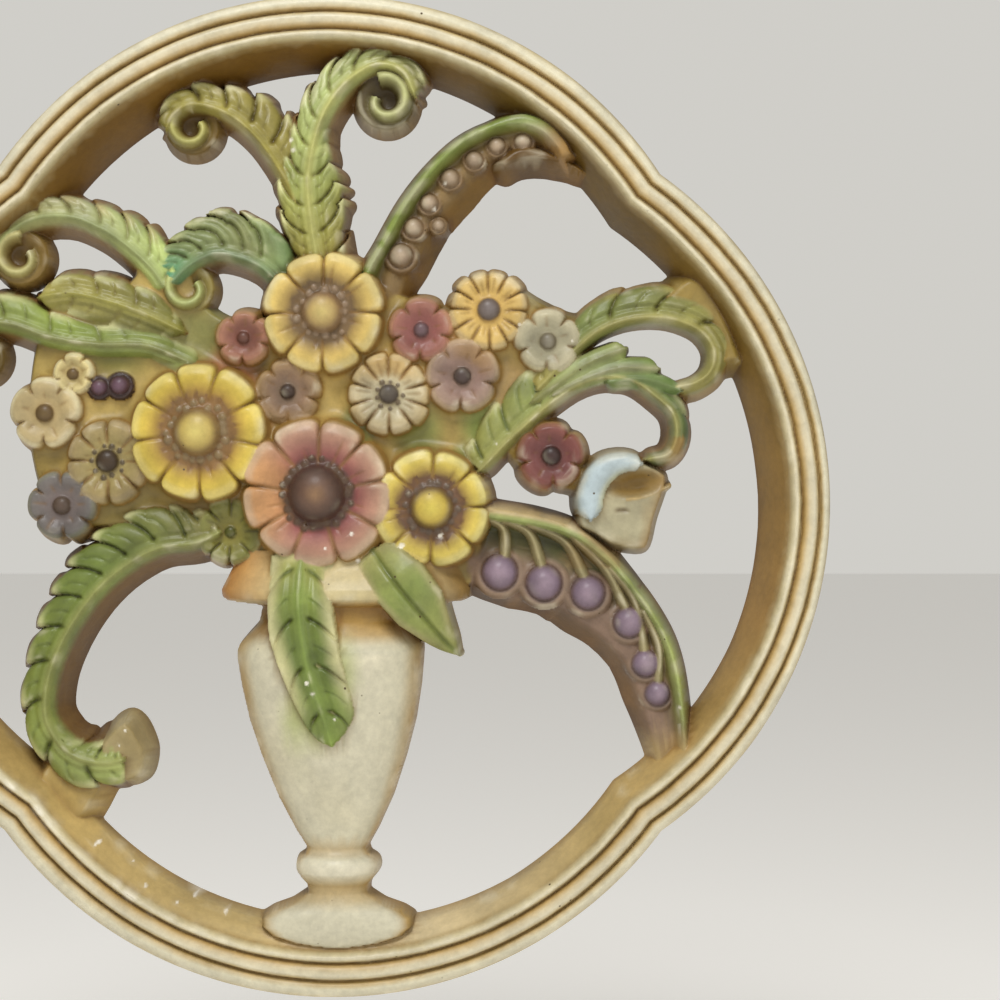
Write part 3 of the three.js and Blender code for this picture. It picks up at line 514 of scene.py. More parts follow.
def depthInside(ring, x, y):
    # distance in from a smooth closed outline, negative outside it
    outline = closedCurve(ring)
    best = np.full(x.shape, 1e9)
    within = np.zeros(x.shape, dtype=bool)
    for (ax, ay), (bx, by) in zip(outline, np.roll(outline, -1, axis=0)):
        dx, dy = bx - ax, by - ay
        t = np.clip(((x - ax) * dx + (y - ay) * dy) / (dx * dx + dy * dy + 1e-12), 0, 1)
        best = np.minimum(best, (x - ax - t * dx) ** 2 + (y - ay - t * dy) ** 2)
        within ^= ((ay > y) != (by > y)) & (x < (bx - ax) * (y - ay) / (by - ay + 1e-12) + ax)
    return np.where(within, np.sqrt(best), -np.sqrt(best))


def makePlate(plate):
    ring = np.array(plate["outline"], dtype=float)
    area = windowRound(ring, 4)
    x, y = sheetX[area], sheetY[area]
    depth = depthInside(ring, x, y)
    top = plate["height"] + plate["lumps"] * grain(4, 51)[area]
    h = sideways(top, depth - plate["draft"], plate["draft"], 1.2, plate["height"])
    colour = blend(even(plate["colour"], x), linear(plate["second"]), ramp(grain(7, 52)[area], -0.6, 0.8))
    colour = colour * (1 + 0.15 * grain(1.8, 53)[area][..., None])
    lay(area, h, colour, 0.5)


# the thin ground that joins the blooms
ground = {
    "outline": [(-9, 65), (-16, 57), (-21.5, 53.5), (-30, 55), (-37, 60), (-41, 70), (-47, 76), (-54, 80.5), (-62, 84),
                (-72, 85.5), (-74, 79), (-60, 69), (-68, 62.5), (-84, 59), (-89, 48), (-91, 36), (-92, 24), (-89, 6),
                (-83, -8), (-70, -9), (-56, -9), (-37, -12), (-24, -19), (0, -24), (30, -24), (41, -26), (46, -12),
                (44, 1), (44.5, 11), (50, 13), (56, 6), (66, 2.5), (74, 2), (78, 9), (74.5, 13), (70.5, 22),
                (64.5, 27), (76, 46), (80, 57), (71, 56.5), (62, 60.5), (54, 65), (45, 66), (38, 60), (28, 59), (14, 65)],
    "height": 8.5, "draft": 2.2, "lumps": 0.5, "colour": "#b8a05c", "second": "#7d6a34",
}
# webs of plaster that tie the leaves to the frame
webs = [
    {"outline": [(-70, -70), (-66.9, -65.6), (-63.9, -62.6), (-60.1, -61.4), (-56.6, -63.4), (-53.8, -67.7),
                 (-51.8, -73), (-52.4, -79), (-55, -82.8), (-60.4, -84.6), (-66, -82), (-70, -78)],
     "height": 14.4, "draft": 3.4, "lumps": 1.9, "colour": "#ab9c72", "second": "#8a7646"},
    {"outline": [(44, 99), (50, 106), (58, 108), (68, 105), (76, 100), (78, 94), (72.6, 93.2), (68.2, 94.6),
                 (61.6, 95.8), (55.5, 95.6), (50, 93.6)],
     "height": 12, "draft": 4.5, "lumps": 0.8, "colour": "#75561f", "second": "#5f4418"},
    {"outline": [(-82, -70), (-70, -76), (-61, -79), (-65, -87), (-72, -97), (-85, -96), (-92, -84)],
     "height": 10, "draft": 5, "lumps": 0.4, "colour": "#8e7036", "second": "#a98f52"},
    {"outline": [(92, 58), (97, 66), (106, 70), (116, 62), (124, 40), (116, 36.5), (103, 31), (110, 47)],
     "height": 11, "draft": 5, "lumps": 0.4, "colour": "#8a7436", "second": "#937c40"},
]
# where the ground shows between the blooms it was brushed green, olive and rosy tan: place, reach and colour
brushed = [(-62, 50, 14, "#76783a"), (-32, 62, 10, "#86884a"), (-42, 49, 11, "#82824a"), (-30, 36, 9, "#b07f58"),
           (6, 42, 7, "#8f7c48"), (8, 24, 6, "#7f8650"), (25, 20, 9, "#7d8446"), (45, 22, 9, "#7c9048"),
           (52, 34, 8, "#a58a58"), (36, 48, 6, "#b58c50"), (54, 62, 8, "#a59a72"), (-18, -14, 8, "#6f6a34"),
           (12, -17, 9, "#a89a60"), (-60, -2, 10, "#8a7a40"), (74, 8, 8, "#96804a"), (50, -12, 8, "#5c4024"),
           (-48, 4, 7, "#96803e"), (-20, 24, 5, "#b08a54"), (38, 14, 5, "#8c9450")]


def brushGround():
    for cx, cy, reach, code in brushed:
        away = np.hypot(sheetX - cx, sheetY - cy) + 1.5 * grain(5, 81)
        paint[:] = blend(paint, even(code, sheetX), 0.85 * (1 - ramp(away, 0.4 * reach, 1.2 * reach)))


makeRim()
for plate in [ground] + webs:
    makePlate(plate)
brushGround()
print("ground modelled")
makeVase()
# a leaf: its spine, its widths to the left and right as (share of its length, mm), then its shape and paint
leaves = [
    {"spine": [(-3.5, 66), (-6, 81), (-7, 93), (-5.5, 104), (-1.5, 115), (5.5, 123.5), (13.5, 127.5),
         (20.5, 125.5), (24, 119)],
     "left": [(0, 6), (0.14, 9.3), (0.26, 9), (0.39, 7.5), (0.51, 8.4), (0.63, 8.4), (0.76, 7), (0.88, 5),
         (1, 3)],
     "right": [(0, 8), (0.14, 10.5), (0.26, 9), (0.39, 4.8), (0.51, 1.8), (1, 1.8)],
     "crown": 15, "brim": 11.5, "draft": (2.5, 3.2), "fingers": 1.25, "lean": 0.95, "cuts": 0.8, "ribbed": 4.5,
     "blade": [(0, "#94873c"), (0.3, "#959c56"), (0.6, "#acb776"), (1, "#756f44")], "rib": "#afad67",
     "deep": "#65622c"},
    {"spine": [(-11, 88), (-13, 93), (-17.5, 100.5), (-22.5, 107), (-29, 112.5), (-36, 115.5), (-42, 116),
         (-46.5, 113), (-48.5, 109)],
     "left": [(0, 2), (1, 1.6)],
     "right": [(0, 5), (0.15, 6.5), (0.28, 11.5), (0.43, 10.5), (0.58, 8.2), (0.72, 7), (0.86, 5.5), (1, 3)],
     "crown": 13.5, "brim": 10, "draft": (2.8, 2.5),
     "blade": [(0, "#7c7336"), (0.4, "#948948"), (1, "#908945")], "rib": "#978d45", "deep": "#54491a"},
    {"spine": [(-49, 63), (-53, 68.5), (-60, 75), (-67.5, 80), (-77, 83.5), (-87, 83), (-95, 78.5),
         (-99.5, 72)],
     "left": [(0, 3), (0.5, 2.2), (1, 1.8)],
     "right": [(0, 8), (0.12, 8.5), (0.24, 7.5), (0.38, 6.2), (0.52, 6.2), (0.66, 7), (0.8, 6.5), (1, 4)],
     "crown": 12.5, "brim": 9.5, "draft": (4, 2.5), "lean": 0.8, "cuts": 0.8, "scallop": 0.18, "hem": 3.6,
     "blade": [(0, "#b3c473"), (0.5, "#9d9f74"), (1, "#b0a968")], "rib": "#8d9561", "deep": "#6b6a30",
     "pale": "#baab7a"},
    {"spine": [(-13, 60), (-16, 64), (-20.5, 68.5), (-27, 71.5), (-34, 72.7), (-39, 71), (-43.5, 68),
         (-47, 64)],
     "left": [(0, 2), (1, 1.6)],
     "right": [(0, 9), (0.28, 13.5), (0.4, 13.5), (0.53, 11.5), (0.66, 10), (0.77, 9.5), (0.88, 8.5), (1, 6)],
     "crown": 12.5, "brim": 10, "draft": (3.2, 2), "lean": 0.6, "cuts": 0.8, "scallop": 0.18,
     "blade": [(0, "#71925b"), (0.4, "#818556"), (0.75, "#7a8757"), (0.95, "#56936e")], "rib": "#70835c",
     "deep": "#5c6430"},
    {"spine": [(-44, 50), (-55, 55), (-65, 58.5), (-76, 61), (-86, 60)],
     "left": [(0, 5), (0.25, 7), (0.5, 7), (0.75, 6), (1, 2)],
     "right": [(0, 5), (0.2, 7), (0.4, 7.2), (0.6, 6.6), (0.8, 5.4), (1, 2)],
     "crown": 12.5, "brim": 10, "fingers": 0.75, "cuts": 0.55, "scallop": 0.14, "taper": (14, 3),
     "blade": [(0, "#696833"), (1, "#9c9350")], "rib": "#918b41", "deep": "#66592a"},
    {"spine": [(-40, 40), (-54, 45.5), (-68, 46), (-82, 48), (-94, 52), (-104, 52.5), (-111, 47.5), (-112, 41)],
     "left": [(0, 4), (0.4, 3), (0.7, 2.2), (1, 1.8)],
     "right": [(0, 4), (0.25, 5.5), (0.42, 6.5), (0.56, 8), (0.7, 8.5), (0.82, 7), (1, 4)],
     "crown": 13, "brim": 10, "draft": (3.5, 3), "fingers": 0.8, "cuts": 0.6, "scallop": 0.18,
     "blade": [(0, "#7f8848"), (0.5, "#839245"), (1, "#7f8450")], "rib": "#808150", "deep": "#4d4e1f"},
    {"spine": [(-33, -9), (-40, -12), (-50, -13.3), (-58, -17), (-66, -23), (-73, -31), (-79, -41), (-83, -52),
         (-83.5, -63), (-79, -71), (-73, -75), (-66, -76), (-61, -75)],
     "left": [(0, 2), (0.7, 2), (0.82, 3.5), (0.92, 6), (1, 6)],
     "right": [(0, 9), (0.1, 13), (0.21, 13.3), (0.32, 12), (0.43, 10), (0.56, 8.2), (0.7, 7.5), (0.85, 8.5),
         (1, 6)],
     "crown": [(0, 13), (0.8, 14), (1, 16)], "brim": [(0, 10.5), (0.8, 11), (1, 14)], "draft": (4.5, 2.5),
     "fingers": 1.4, "lean": 0.5,
     "blade": [(0, "#6d673a"), (0.3, "#6b7a37"), (0.7, "#778139"), (1, "#949d5a")], "rib": "#8e9154",
     "deep": "#4e5a26", "side": "#6c4f22"},
    {"spine": [(43, 9), (50, 16.5), (57, 23), (64, 29), (72, 34.2), (80, 36.4), (88, 35.3), (95, 30.5),
         (99.7, 25.5), (100.5, 19), (98, 14), (92, 12.5)],
     "left": [(0, 8), (0.12, 11), (0.25, 12), (0.4, 9.5), (0.56, 5), (0.74, 4.6), (0.9, 3), (1, 1.4)],
     "right": [(0, 1.8), (1, 1.4)],
     "crown": 13.5, "brim": 10.5, "draft": (2, 2.5),
     "blade": [(0, "#92924f"), (0.5, "#6b7b43"), (1, "#425435")], "rib": "#99945a", "deep": "#4a5a2a"},
    {"spine": [(58, 29), (66, 34.5), (75, 40.5), (86, 45)],
     "left": [(0, 1.5), (0.5, 3.2), (0.9, 3), (1, 2)],
     "right": [(0, 1.5), (0.5, 3.2), (0.9, 3), (1, 2)],
     "crown": 13.8, "brim": 12, "draft": (1, 1), "scallop": 0, "taper": (3, 3), "hem": 1.2, "veins": 0.5,
     "blade": [(0, "#8d8c4c"), (0.5, "#9aa56e"), (1, "#828d4a")], "rib": "#717144", "pale": "#b4aa78"},
    {"spine": [(64, 31), (73, 35.4), (84, 39), (95.5, 39)],
     "left": [(0, 1.5), (0.5, 3), (0.85, 3.2), (1, 2)],
     "right": [(0, 1.5), (0.5, 3), (0.85, 3.2), (1, 2)],
     "crown": 13.9, "brim": 12, "draft": (1, 1), "scallop": 0, "taper": (3, 3), "hem": 1.2, "veins": 0.5,
     "blade": [(0, "#8d8c4c"), (0.5, "#8e9c62"), (1, "#576d2d")], "rib": "#82805c", "pale": "#9c9360"},
    {"spine": [(80, 35), (91, 35.8), (102, 32.6)],
     "left": [(0, 2), (0.5, 3), (1, 2)],
     "right": [(0, 2), (0.5, 3), (1, 2)],
     "crown": 13.8, "brim": 11.5, "draft": (1, 1), "scallop": 0, "taper": (3, 4), "hem": 1, "veins": 0.5,
     "blade": [(0, "#7d8c54"), (1, "#5f7a40")], "rib": "#616f3f", "pale": "#77764d"},
    {"spine": [(60, 33), (70, 43.5), (77, 49.5), (84.5, 52.8), (92.3, 54), (100, 53.3), (107.5, 50),
         (111.3, 44.5), (110.5, 38.5), (106, 34.8), (100, 33.6)],
     "left": [(0, 4), (0.15, 5), (0.31, 8.6), (0.47, 9.4), (0.62, 7.5), (0.8, 3.4), (1, 2)],
     "right": [(0, 4), (0.2, 1.8), (1, 1.8)],
     "crown": 13.5, "brim": 10.5, "draft": (2.5, 1), "lean": 0.6, "ribbed": 5, "scallop": 0.12, "taper": (3, 5),
     "blade": [(0, "#928647"), (0.25, "#758046"), (0.45, "#767a43"), (0.7, "#858044"), (1, "#898348")],
     "rib": "#999256", "deep": "#5c5c26", "pale": "#978d54", "side": "#9a7f42"},
]
# these two hang over the lip of the vase
hangingLeaves = [
    {"spine": [(-8.4, -15), (-8.9, -29), (-7.6, -41), (-5, -52), (-2, -61), (0.5, -70)],
     "left": [(0, 9.3), (0.25, 9.8), (0.5, 9.8), (0.75, 8.6), (1, 5)],
     "right": [(0, 9), (0.25, 9.3), (0.5, 7.6), (0.75, 6), (1, 4.5)],
     "crown": [(0, 18.5), (0.08, 22), (0.2, 24.8), (0.4, 25.4), (0.7, 25.1), (0.9, 24), (1, 22.8)],
     "brim": [(0, 17.5), (0.08, 21.2), (0.2, 24.2), (0.4, 24.9), (0.7, 23.6), (0.9, 22.6), (1, 21.8)],
     "draft": (0.6, 0.6), "lean": 0.85, "scallop": 0, "fade": 0.3, "taper": (1, 9), "hem": 5, "paleness": 0.95,
     "greenEnd": 0.9, "ridge": 1,
     "blade": [(0, "#9d9d59"), (0.2, "#7a883f"), (0.5, "#606f31"), (1, "#758738")],
     "rib": "#819447", "deep": "#47561f", "pale": "#c8c290", "side": "#a89a62"},
    {"spine": [(12, -14), (19, -23.5), (26, -32), (31, -38), (37, -44.5)],
     "left": [(0, 6), (0.3, 9.3), (0.55, 8.6), (0.8, 4.5), (1, 1)],
     "right": [(0, 6), (0.3, 7.5), (0.55, 7), (0.8, 4), (1, 1)],
     "crown": [(0, 17), (0.12, 20.5), (0.25, 23), (0.5, 24), (1, 18)],
     "brim": [(0, 16), (0.12, 19.5), (0.25, 21.6), (0.5, 22), (1, 17)],
     "draft": (0.8, 0.8), "lean": 0, "scallop": 0, "taper": (1, 5), "hem": 3, "ridge": 0.7, "veins": 0,
     "creased": 1,
     "blade": [(0, "#919056"), (0.4, "#7f8c46"), (1, "#89894d")],
     "rib": "#5f6a29", "pale": "#a49c6c", "side": "#9c8a52"},
]
scrolls = [
    {"at": (15.5, 117.8), "radius": 8.4, "start": 1.9, "hand": -1, "turns": 0.86, "top": 15, "floor": 9,
     "ridge": "#b3b47c", "hollow": "#544624"},
    {"at": (-41.5, 110), "radius": 7.8, "start": 1.5, "turns": 0.86, "top": 13.5, "floor": 8,
     "ridge": "#b0ab64", "hollow": "#6a5424"},
    {"at": (-42.4, 62.8), "radius": 7.2, "start": 2.6, "turns": 0.7, "top": 13.6, "floor": 8,
     "ridge": "#adb474", "hollow": "#8a7c44"},
    {"at": (-92, 72), "radius": 8, "start": 1.5, "turns": 0.86, "top": 13, "floor": 8, "ridge": "#b5ae74",
     "hollow": "#7a6230"},
    {"at": (-104.5, 42.5), "radius": 7.6, "start": 1.4, "turns": 0.86, "top": 13, "floor": 8,
     "ridge": "#8f9c6a", "hollow": "#5e4c22"},
]
blooms = [
    {"at": (-84, 26), "radius": 10.5, "petals": 5, "face": 13.5, "dome": 2.4,
     "colours": [(0, "#a08a5c"), (1, "#b8a67a")],
     "domeColours": [(0, "#6a5634"), (1, "#5a4526")]},
    {"at": (-76, 37.5), "radius": 6, "petals": 5, "face": 12.5, "dome": 1.6,
     "colours": [(0, "#8e7a48"), (1, "#daca90")],
     "domeColours": [(0, "#6a5634"), (1, "#5a4526")]},
    {"at": (-79, -1), "radius": 10, "petals": 6, "face": 13.5, "dome": 2.4,
     "colours": [(0, "#6f5f5c"), (1, "#66635e")], "pale": "#848372",
     "domeColours": [(0, "#5a4a40"), (1, "#4c3c2e")]},
    {"at": (-65.6, 12), "radius": 12.2, "petals": 8, "face": 14, "dome": 3,
     "colours": [(0, "#7b6f4a"), (0.5, "#998956"), (1, "#95825a")], "pale": "#b09e7a",
     "domeColours": [(0, "#473726"), (1, "#372919")], "beads": [(4.6, 10, 0.9, "#4e4130")]},
    {"at": (-30, -8.8), "radius": 9.8, "petals": 8, "face": 12, "dome": 1.6, "cup": 2,
     "colours": [(0, "#7f752e"), (1, "#777940")], "pale": "#9e9b6a", "line": "#4f4c1e",
     "domeColours": [(0, "#585923"), (1, "#484919")]},
    {"at": (-13, 32.3), "radius": 9.4, "petals": 5, "face": 13.5, "dome": 2,
     "colours": [(0, "#6b5e4c"), (0.5, "#7d6450"), (1, "#987d58")], "pale": "#baa27d",
     "domeColours": [(0, "#423127"), (1, "#3a2c23")]},
    {"at": (16.5, 31.5), "radius": 11.8, "petals": 10, "face": 14.5, "dome": 2.6,
     "colours": [(0, "#968863"), (0.5, "#bcb292"), (1, "#b6a175")], "pale": "#cab98f",
     "domeColours": [(0, "#554d42"), (1, "#473d35")], "patch": [(90, 70, "#b09055")],
     "beads": [(3.9, 9, 0.8, "#5c4c38")]},
    {"at": (64, 13.5), "radius": 9.9, "petals": 5, "face": 14, "dome": 2.5,
     "colours": [(0, "#513428"), (0.5, "#6d3e3b"), (1, "#7c4a40")], "pale": "#9a6e59",
     "domeColours": [(0, "#412c29"), (1, "#31211d")]},
    {"at": (38, 36.8), "radius": 10.5, "petals": 5, "face": 14.5, "dome": 2.3,
     "colours": [(0, "#776653"), (0.5, "#896e63"), (1, "#a38b76")], "pale": "#bea88c",
     "domeColours": [(0, "#4f413d"), (1, "#41332c")], "patch": [(60, 70, "#8f7048")]},
    {"at": (-26, 48), "radius": 8, "petals": 5, "face": 13.5, "dome": 1.7,
     "colours": [(0, "#613728"), (0.5, "#7f5143"), (1, "#a97a60")], "pale": "#bd9875",
     "domeColours": [(0, "#6b473a"), (1, "#59362a")]},
    {"at": (26, 50.3), "radius": 9.4, "petals": 5, "face": 14, "dome": 2,
     "colours": [(0, "#7a4d46"), (0.5, "#8a534c"), (1, "#a1715e")], "pale": "#bd9375",
     "domeColours": [(0, "#705b60"), (1, "#5c4444")]},
    {"at": (63, 47), "radius": 9.4, "petals": 5, "face": 14, "dome": 2.2,
     "colours": [(0, "#837b60"), (0.5, "#9d977c"), (1, "#b7ae8f")], "pale": "#cec6a9",
     "domeColours": [(0, "#807a6b"), (1, "#685f4b")]},
    {"at": (45.7, 56.2), "radius": 11.3, "petals": 12, "face": 14, "dome": 3, "gap": 0.09,
     "colours": [(0, "#ab8844"), (0.5, "#d9b668"), (1, "#c3a769")], "pale": "#d0bd92",
     "domeColours": [(0, "#7a706d"), (1, "#62554d")]},
    {"at": (-2.5, 55), "radius": 17.3, "petals": 8, "face": 17.5, "dome": 5.2, "tilt": (0, 0.04),
     "colours": [(0, "#654d2e"), (0.58, "#6f593c"), (0.58, "#8a703f"), (0.8, "#c4a95f"), (1, "#c9b369")],
     "pale": "#d8c88e",
     "domeColours": [(0, "#c9b571"), (0.7, "#b0955c"), (1, "#806546")], "beads": [(7, 17, 1.1, "#8a745c")]},
    {"at": (-38.8, 20.3), "radius": 19.3, "petals": 9, "face": 18, "dome": 6, "tilt": (0.04, 0),
     "colours": [(0, "#745834"), (0.6, "#87663d"), (0.6, "#a1803c"), (0.8, "#c7ad49"), (1, "#ceb957")],
     "pale": "#e2d082",
     "domeColours": [(0, "#d0bf6f"), (0.7, "#bca55a"), (1, "#826940")], "beads": [(8.3, 22, 1.2, "#84704e")]},
    {"at": (29.2, -1.7), "radius": 16.8, "petals": 8, "face": 18, "dome": 5.4, "tilt": (-0.04, 0),
     "colours": [(0, "#5a3f2e"), (0.62, "#674b34"), (0.62, "#9c8040"), (0.8, "#c8b253"), (1, "#cebb61")],
     "pale": "#dcd18d",
     "domeColours": [(0, "#cebc56"), (0.75, "#bba347"), (1, "#725c32")], "beads": [(7.3, 19, 1.15, "#5e4e40")]},
    {"at": (-4, 2.3), "radius": 21.3, "petals": 9, "face": 20, "dome": 7, "twist": 0.35, "tilt": (0, -0.02),
     "colours": [(0, "#442d22"), (0.48, "#51342b"), (0.56, "#8a4f4b"), (0.8, "#a77d68"), (1, "#b18f75")],
     "pale": "#c4ac90",
     "domeColours": [(0, "#8e6e4f"), (0.5, "#664c3c"), (1, "#463229")], "patch": [(180, 60, "#c08e58")],
     "beads": [(9.8, 26, 1.25, "#54402f")]},
]
sprays = [
    {"spine": [(9, 62), (11.2, 68.8), (14.8, 75), (21.8, 87.4), (29.2, 97), (37.8, 105), (46.3, 109.3), (54.5, 110.9),
               (61, 109), (65.6, 104.6), (67.6, 101)],
     "lip": [(0, 1.2), (0.7, 1.2), (0.82, 2.4), (1, 2)],
     "plate": [(0, 11), (0.15, 10), (0.32, 10), (0.5, 10), (0.7, 9), (0.85, 5), (1, 2)],
     "slope": [(0, 5), (0.15, 6), (0.32, 7), (0.5, 7.5), (0.7, 7.5), (0.85, 5), (1, 4)],
     "top": 14, "hollow": 7.5, "bed": (6.6, 2.6), "stalks": [],
     "rib": "#7c8a44", "back": "#7c8a44", "bedColour": "#7d6640", "deep": "#4d461c", "wall": "#7a5b22",
     "end": "#8a6a3c"},
    {"spine": [(42, -3.5), (48, -4.4), (59.8, -6.2), (70.4, -9.4), (79, -15.5), (84, -20.5), (91, -29), (97, -38.8),
               (100.2, -47.8), (102, -58.6), (103, -70), (103.4, -77)],
     "lip": [(0, 2.5), (0.35, 1.5), (0.5, 0.5), (1, 0.6)],
     "plate": [(0, 20), (0.12, 23), (0.3, 22.5), (0.45, 19.5), (0.65, 15), (0.8, 12), (1, 8)],
     "slope": [(0, 4), (0.2, 6), (0.4, 7), (0.6, 6.5), (0.8, 6), (1, 4)],
     "top": 14, "hollow": 7.6, "bed": (17, 5),
     "stalks": [((45, -4.6), (50, -8), (50.5, -17)), ((49, -5), (57.5, -9), (61.4, -19.5)),
                ((57, -6.4), (68, -11.5), (74, -22.5)), ((70, -10), (79.6, -19), (86, -31)),
                ((81, -19), (88.6, -29), (91.4, -43.6)), ((91, -32), (95.6, -42), (95.4, -52.6))],
     "stalk": "#9a8f68", "rib": "#939c5c", "back": "#b39f72", "bedColour": "#826a58", "deep": "#4f5424",
     "wall": "#6e5230", "end": "#b59c68"},
]


def makeStroke(points, half, crest, code):
    # a raised line, tapering to its end
    curve = smoothCurve(points, 40)
    area = windowRound(curve["track"], 4)
    x, y = sheetX[area], sheetY[area]
    place, left, past = follow(curve, x, y)
    t = np.clip(place / curve["long"], 0, 1)
    thick = half[0] + (half[1] - half[0]) * t
    off = np.abs(left) / thick
    h = crest[0] + (crest[1] - crest[0]) * t - 1.6 * off ** 2 - 2 * np.clip(past, 0, 9)
    h = np.where((off < 2.2) & (past < 1.5), h, bench["open"])
    colour = even(code, x) * (1 + 0.14 * grain(1.5, 71)[area][..., None])
    lay(area, h, colour, 0.5)


def makeSpray(spray):
    # the green spine is at the curve, and the pod hangs to its right
    curve = smoothCurve(spray["spine"])
    area = windowRound(curve["track"], 34)
    x, y = sheetX[area], sheetY[area]
    place, left, past = follow(curve, x, y)
    t = np.clip(place / curve["long"], 0, 1)
    lip, plate, slope = [np.interp(t, *zip(*spray[key])) for key in ("lip", "plate", "slope")]
    deep = np.clip(-left, 0, 60)
    bed, spread = spray["bed"]
    bed = bed * plate / max(v for p, v in spray["plate"])
    top = spray["hollow"] + (spray["top"] - spray["hollow"]) * np.exp(-(deep / 1.9) ** 2)
    top = top + 1.6 * np.exp(-((deep - bed) / spread) ** 2)
    wander = 0.7 * grain(5, 72)[area]
    edge = np.where(left > 0, lip - left, plate + wander - deep)
    edge = np.minimum(edge, 0.6 - past)
    h = sideways(top, edge, np.where(left > 0, 2.2, slope), 1.6, 9.5)
    bedded = ramp(deep, bed - 2.4 * spread, bed - 0.4 * spread)
    colour = blend(even(spray["deep"], x), linear(spray["bedColour"]), bedded)
    colour = blend(colour, linear(spray["rib"]), np.exp(-(deep / 2.4) ** 2) * (1 - 0.8 * ramp(t, 0.82, 0.93)))
    colour = blend(colour, linear(spray["back"]), ramp(left, 0.2, 1.6) * (1 - ramp(t, 0.35, 0.5)))
    walled = np.where(left > 0, ramp(-edge, 0.2, 1.6), ramp(-edge, -1.2, 1.2))
    colour = blend(colour, linear(spray["wall"]), walled)
    colour = blend(colour, linear(spray["end"]), 0.85 * ramp(t, 0.88, 0.97))
    colour = colour * (1 + 0.2 * grain(3, 73)[area][..., None] + 0.1 * grain(1.2, 74)[area][..., None])
    lay(area, h, colour, 0.6)
    for stalk in spray["stalks"]:
        makeStroke(stalk, (0.8, 1.25), (spray["top"] - 1.2, spray["hollow"] + 3.2), spray["stalk"])


# berries of each spray, and the dark pair at the left: place and radius
berryRows = [
    {"height": 9,
     "colours": [(0, "#b09c84"), (0.7, "#8c7860"), (1, "#6f583c"), (1.15, "#7d6648"), (1.5, "#6a5230")],
     "at": [(55.7, 105.7, 2.7), (48, 104.6, 2.6), (41.4, 100.4, 2.7), (34.3, 95, 2.9), (28.2, 87.7, 2.8),
            (23.6, 80.4, 3), (19.9, 72.2, 3.7), (30.9, 81.2, 2)]},
    {"height": 8.6,
     "colours": [(0, "#94808c"), (0.75, "#7c6a78"), (1, "#6a5650"), (1.15, "#86705c"), (1.5, "#7a6450")],
     "at": [(48.9, -20.6, 5.4), (61.9, -23.7, 5.4), (74.8, -26.6, 5.1), (86.8, -35.3, 4.6), (91.7, -47.4, 4.1),
            (95.2, -56.2, 3.8)]},
    {"height": 10, "colours": [(0, "#6c5260"), (0.7, "#583f48"), (1, "#3c2a26")],
     "at": [(-62.5, 34.2, 3), (-68.5, 33.5, 2.6)]},
]
trumpet = {
    "outline": [(81, 15.3), (88.5, 13.9), (96.5, 10.6), (99.3, 6.2), (96, -4.8), (92.6, -15), (82.5, -14.5),
                (76, -10.9), (71, -7.7), (71.5, 0), (74.8, 7.1), (76.9, 12)],
    "height": 13, "draft": 2.2, "lumps": 0.25, "colour": "#aeac90", "second": "#a29a7c",
}
trumpetLip = {"spine": [(90, 11.2), (85, 12), (80, 10.6), (76.4, 6.4), (74.6, 0.6), (75.4, -5)],
              "left": [(0, 2.5), (0.3, 4.6), (0.8, 4.4), (1, 3.4)], "right": [(0, 2), (0.5, 3.2), (1, 2.6)],
              "crown": 16.4, "brim": 14.6, "draft": (0.9, 1.6), "veins": 0, "ridge": 2.6, "scallop": 0, "taper": (2, 4),
              "blade": [(0, "#a8ac9c"), (0.4, "#a9b6b6"), (1, "#a3b0b2")], "rib": "#b0bec2", "side": "#8c7c54"}


def makeTrumpet():
    makePlate(trumpet)
    area = windowOf(69, 103, -19, 19)
    x, y = sheetX[area], sheetY[area]
    # the mouth is scooped out behind the lip, with a fold along its lower side
    share = np.sqrt(((x - 89) / 10) ** 2 + ((y - 5.4 - 0.15 * (x - 89)) / 4.6) ** 2)
    height[area] -= 3.2 * (1 - ramp(share, 0.2, 1.05)) * (height[area] > 9)
    # painted shade darkens the scooped mouth behind the lip
    paint[area] = blend(paint[area], linear("#84682f"), 0.95 * (1 - ramp(share, 0.55, 1.15)))
    rightEdge = ramp(x - 0.3 * y, 91.5, 96.5) * (height[area] > 3)
    paint[area] = blend(paint[area], linear("#9a7a45"), 0.8 * rightEdge)
    under = ramp(-y, 9.5, 13.5)
    paint[area] = blend(paint[area], linear("#9c8458"), 0.5 * under)
    makeStroke([(86, 0.6), (92, 1.6), (98.6, 4.6)], (0.9, 0.5), (13.6, 12.6), "#a88f5c")
    slit = np.exp(-((y + 2.4 + 0.05 * (x - 84.6) ** 2) / 0.7) ** 2) * (1 - ramp(np.abs(x - 84.6), 0.8, 3))
    height[area] -= 0.8 * slit
    paint[area] = blend(paint[area], linear("#5c4524"), 0.6 * slit)
    makeLeaf(trumpetLip)


for leaf in leaves:
    makeLeaf(leaf)
for spray in sprays:
    makeSpray(spray)
for scroll in scrolls:
    makeScroll(scroll)
makeTrumpet()
for bloom in blooms:
    makeBloom(bloom)
for row in berryRows:
    for at in row["at"]:
        makeBerry(row, at)
for leaf in hangingLeaves:
    makeLeaf(leaf)
print("leaves, blooms and berries modelled")

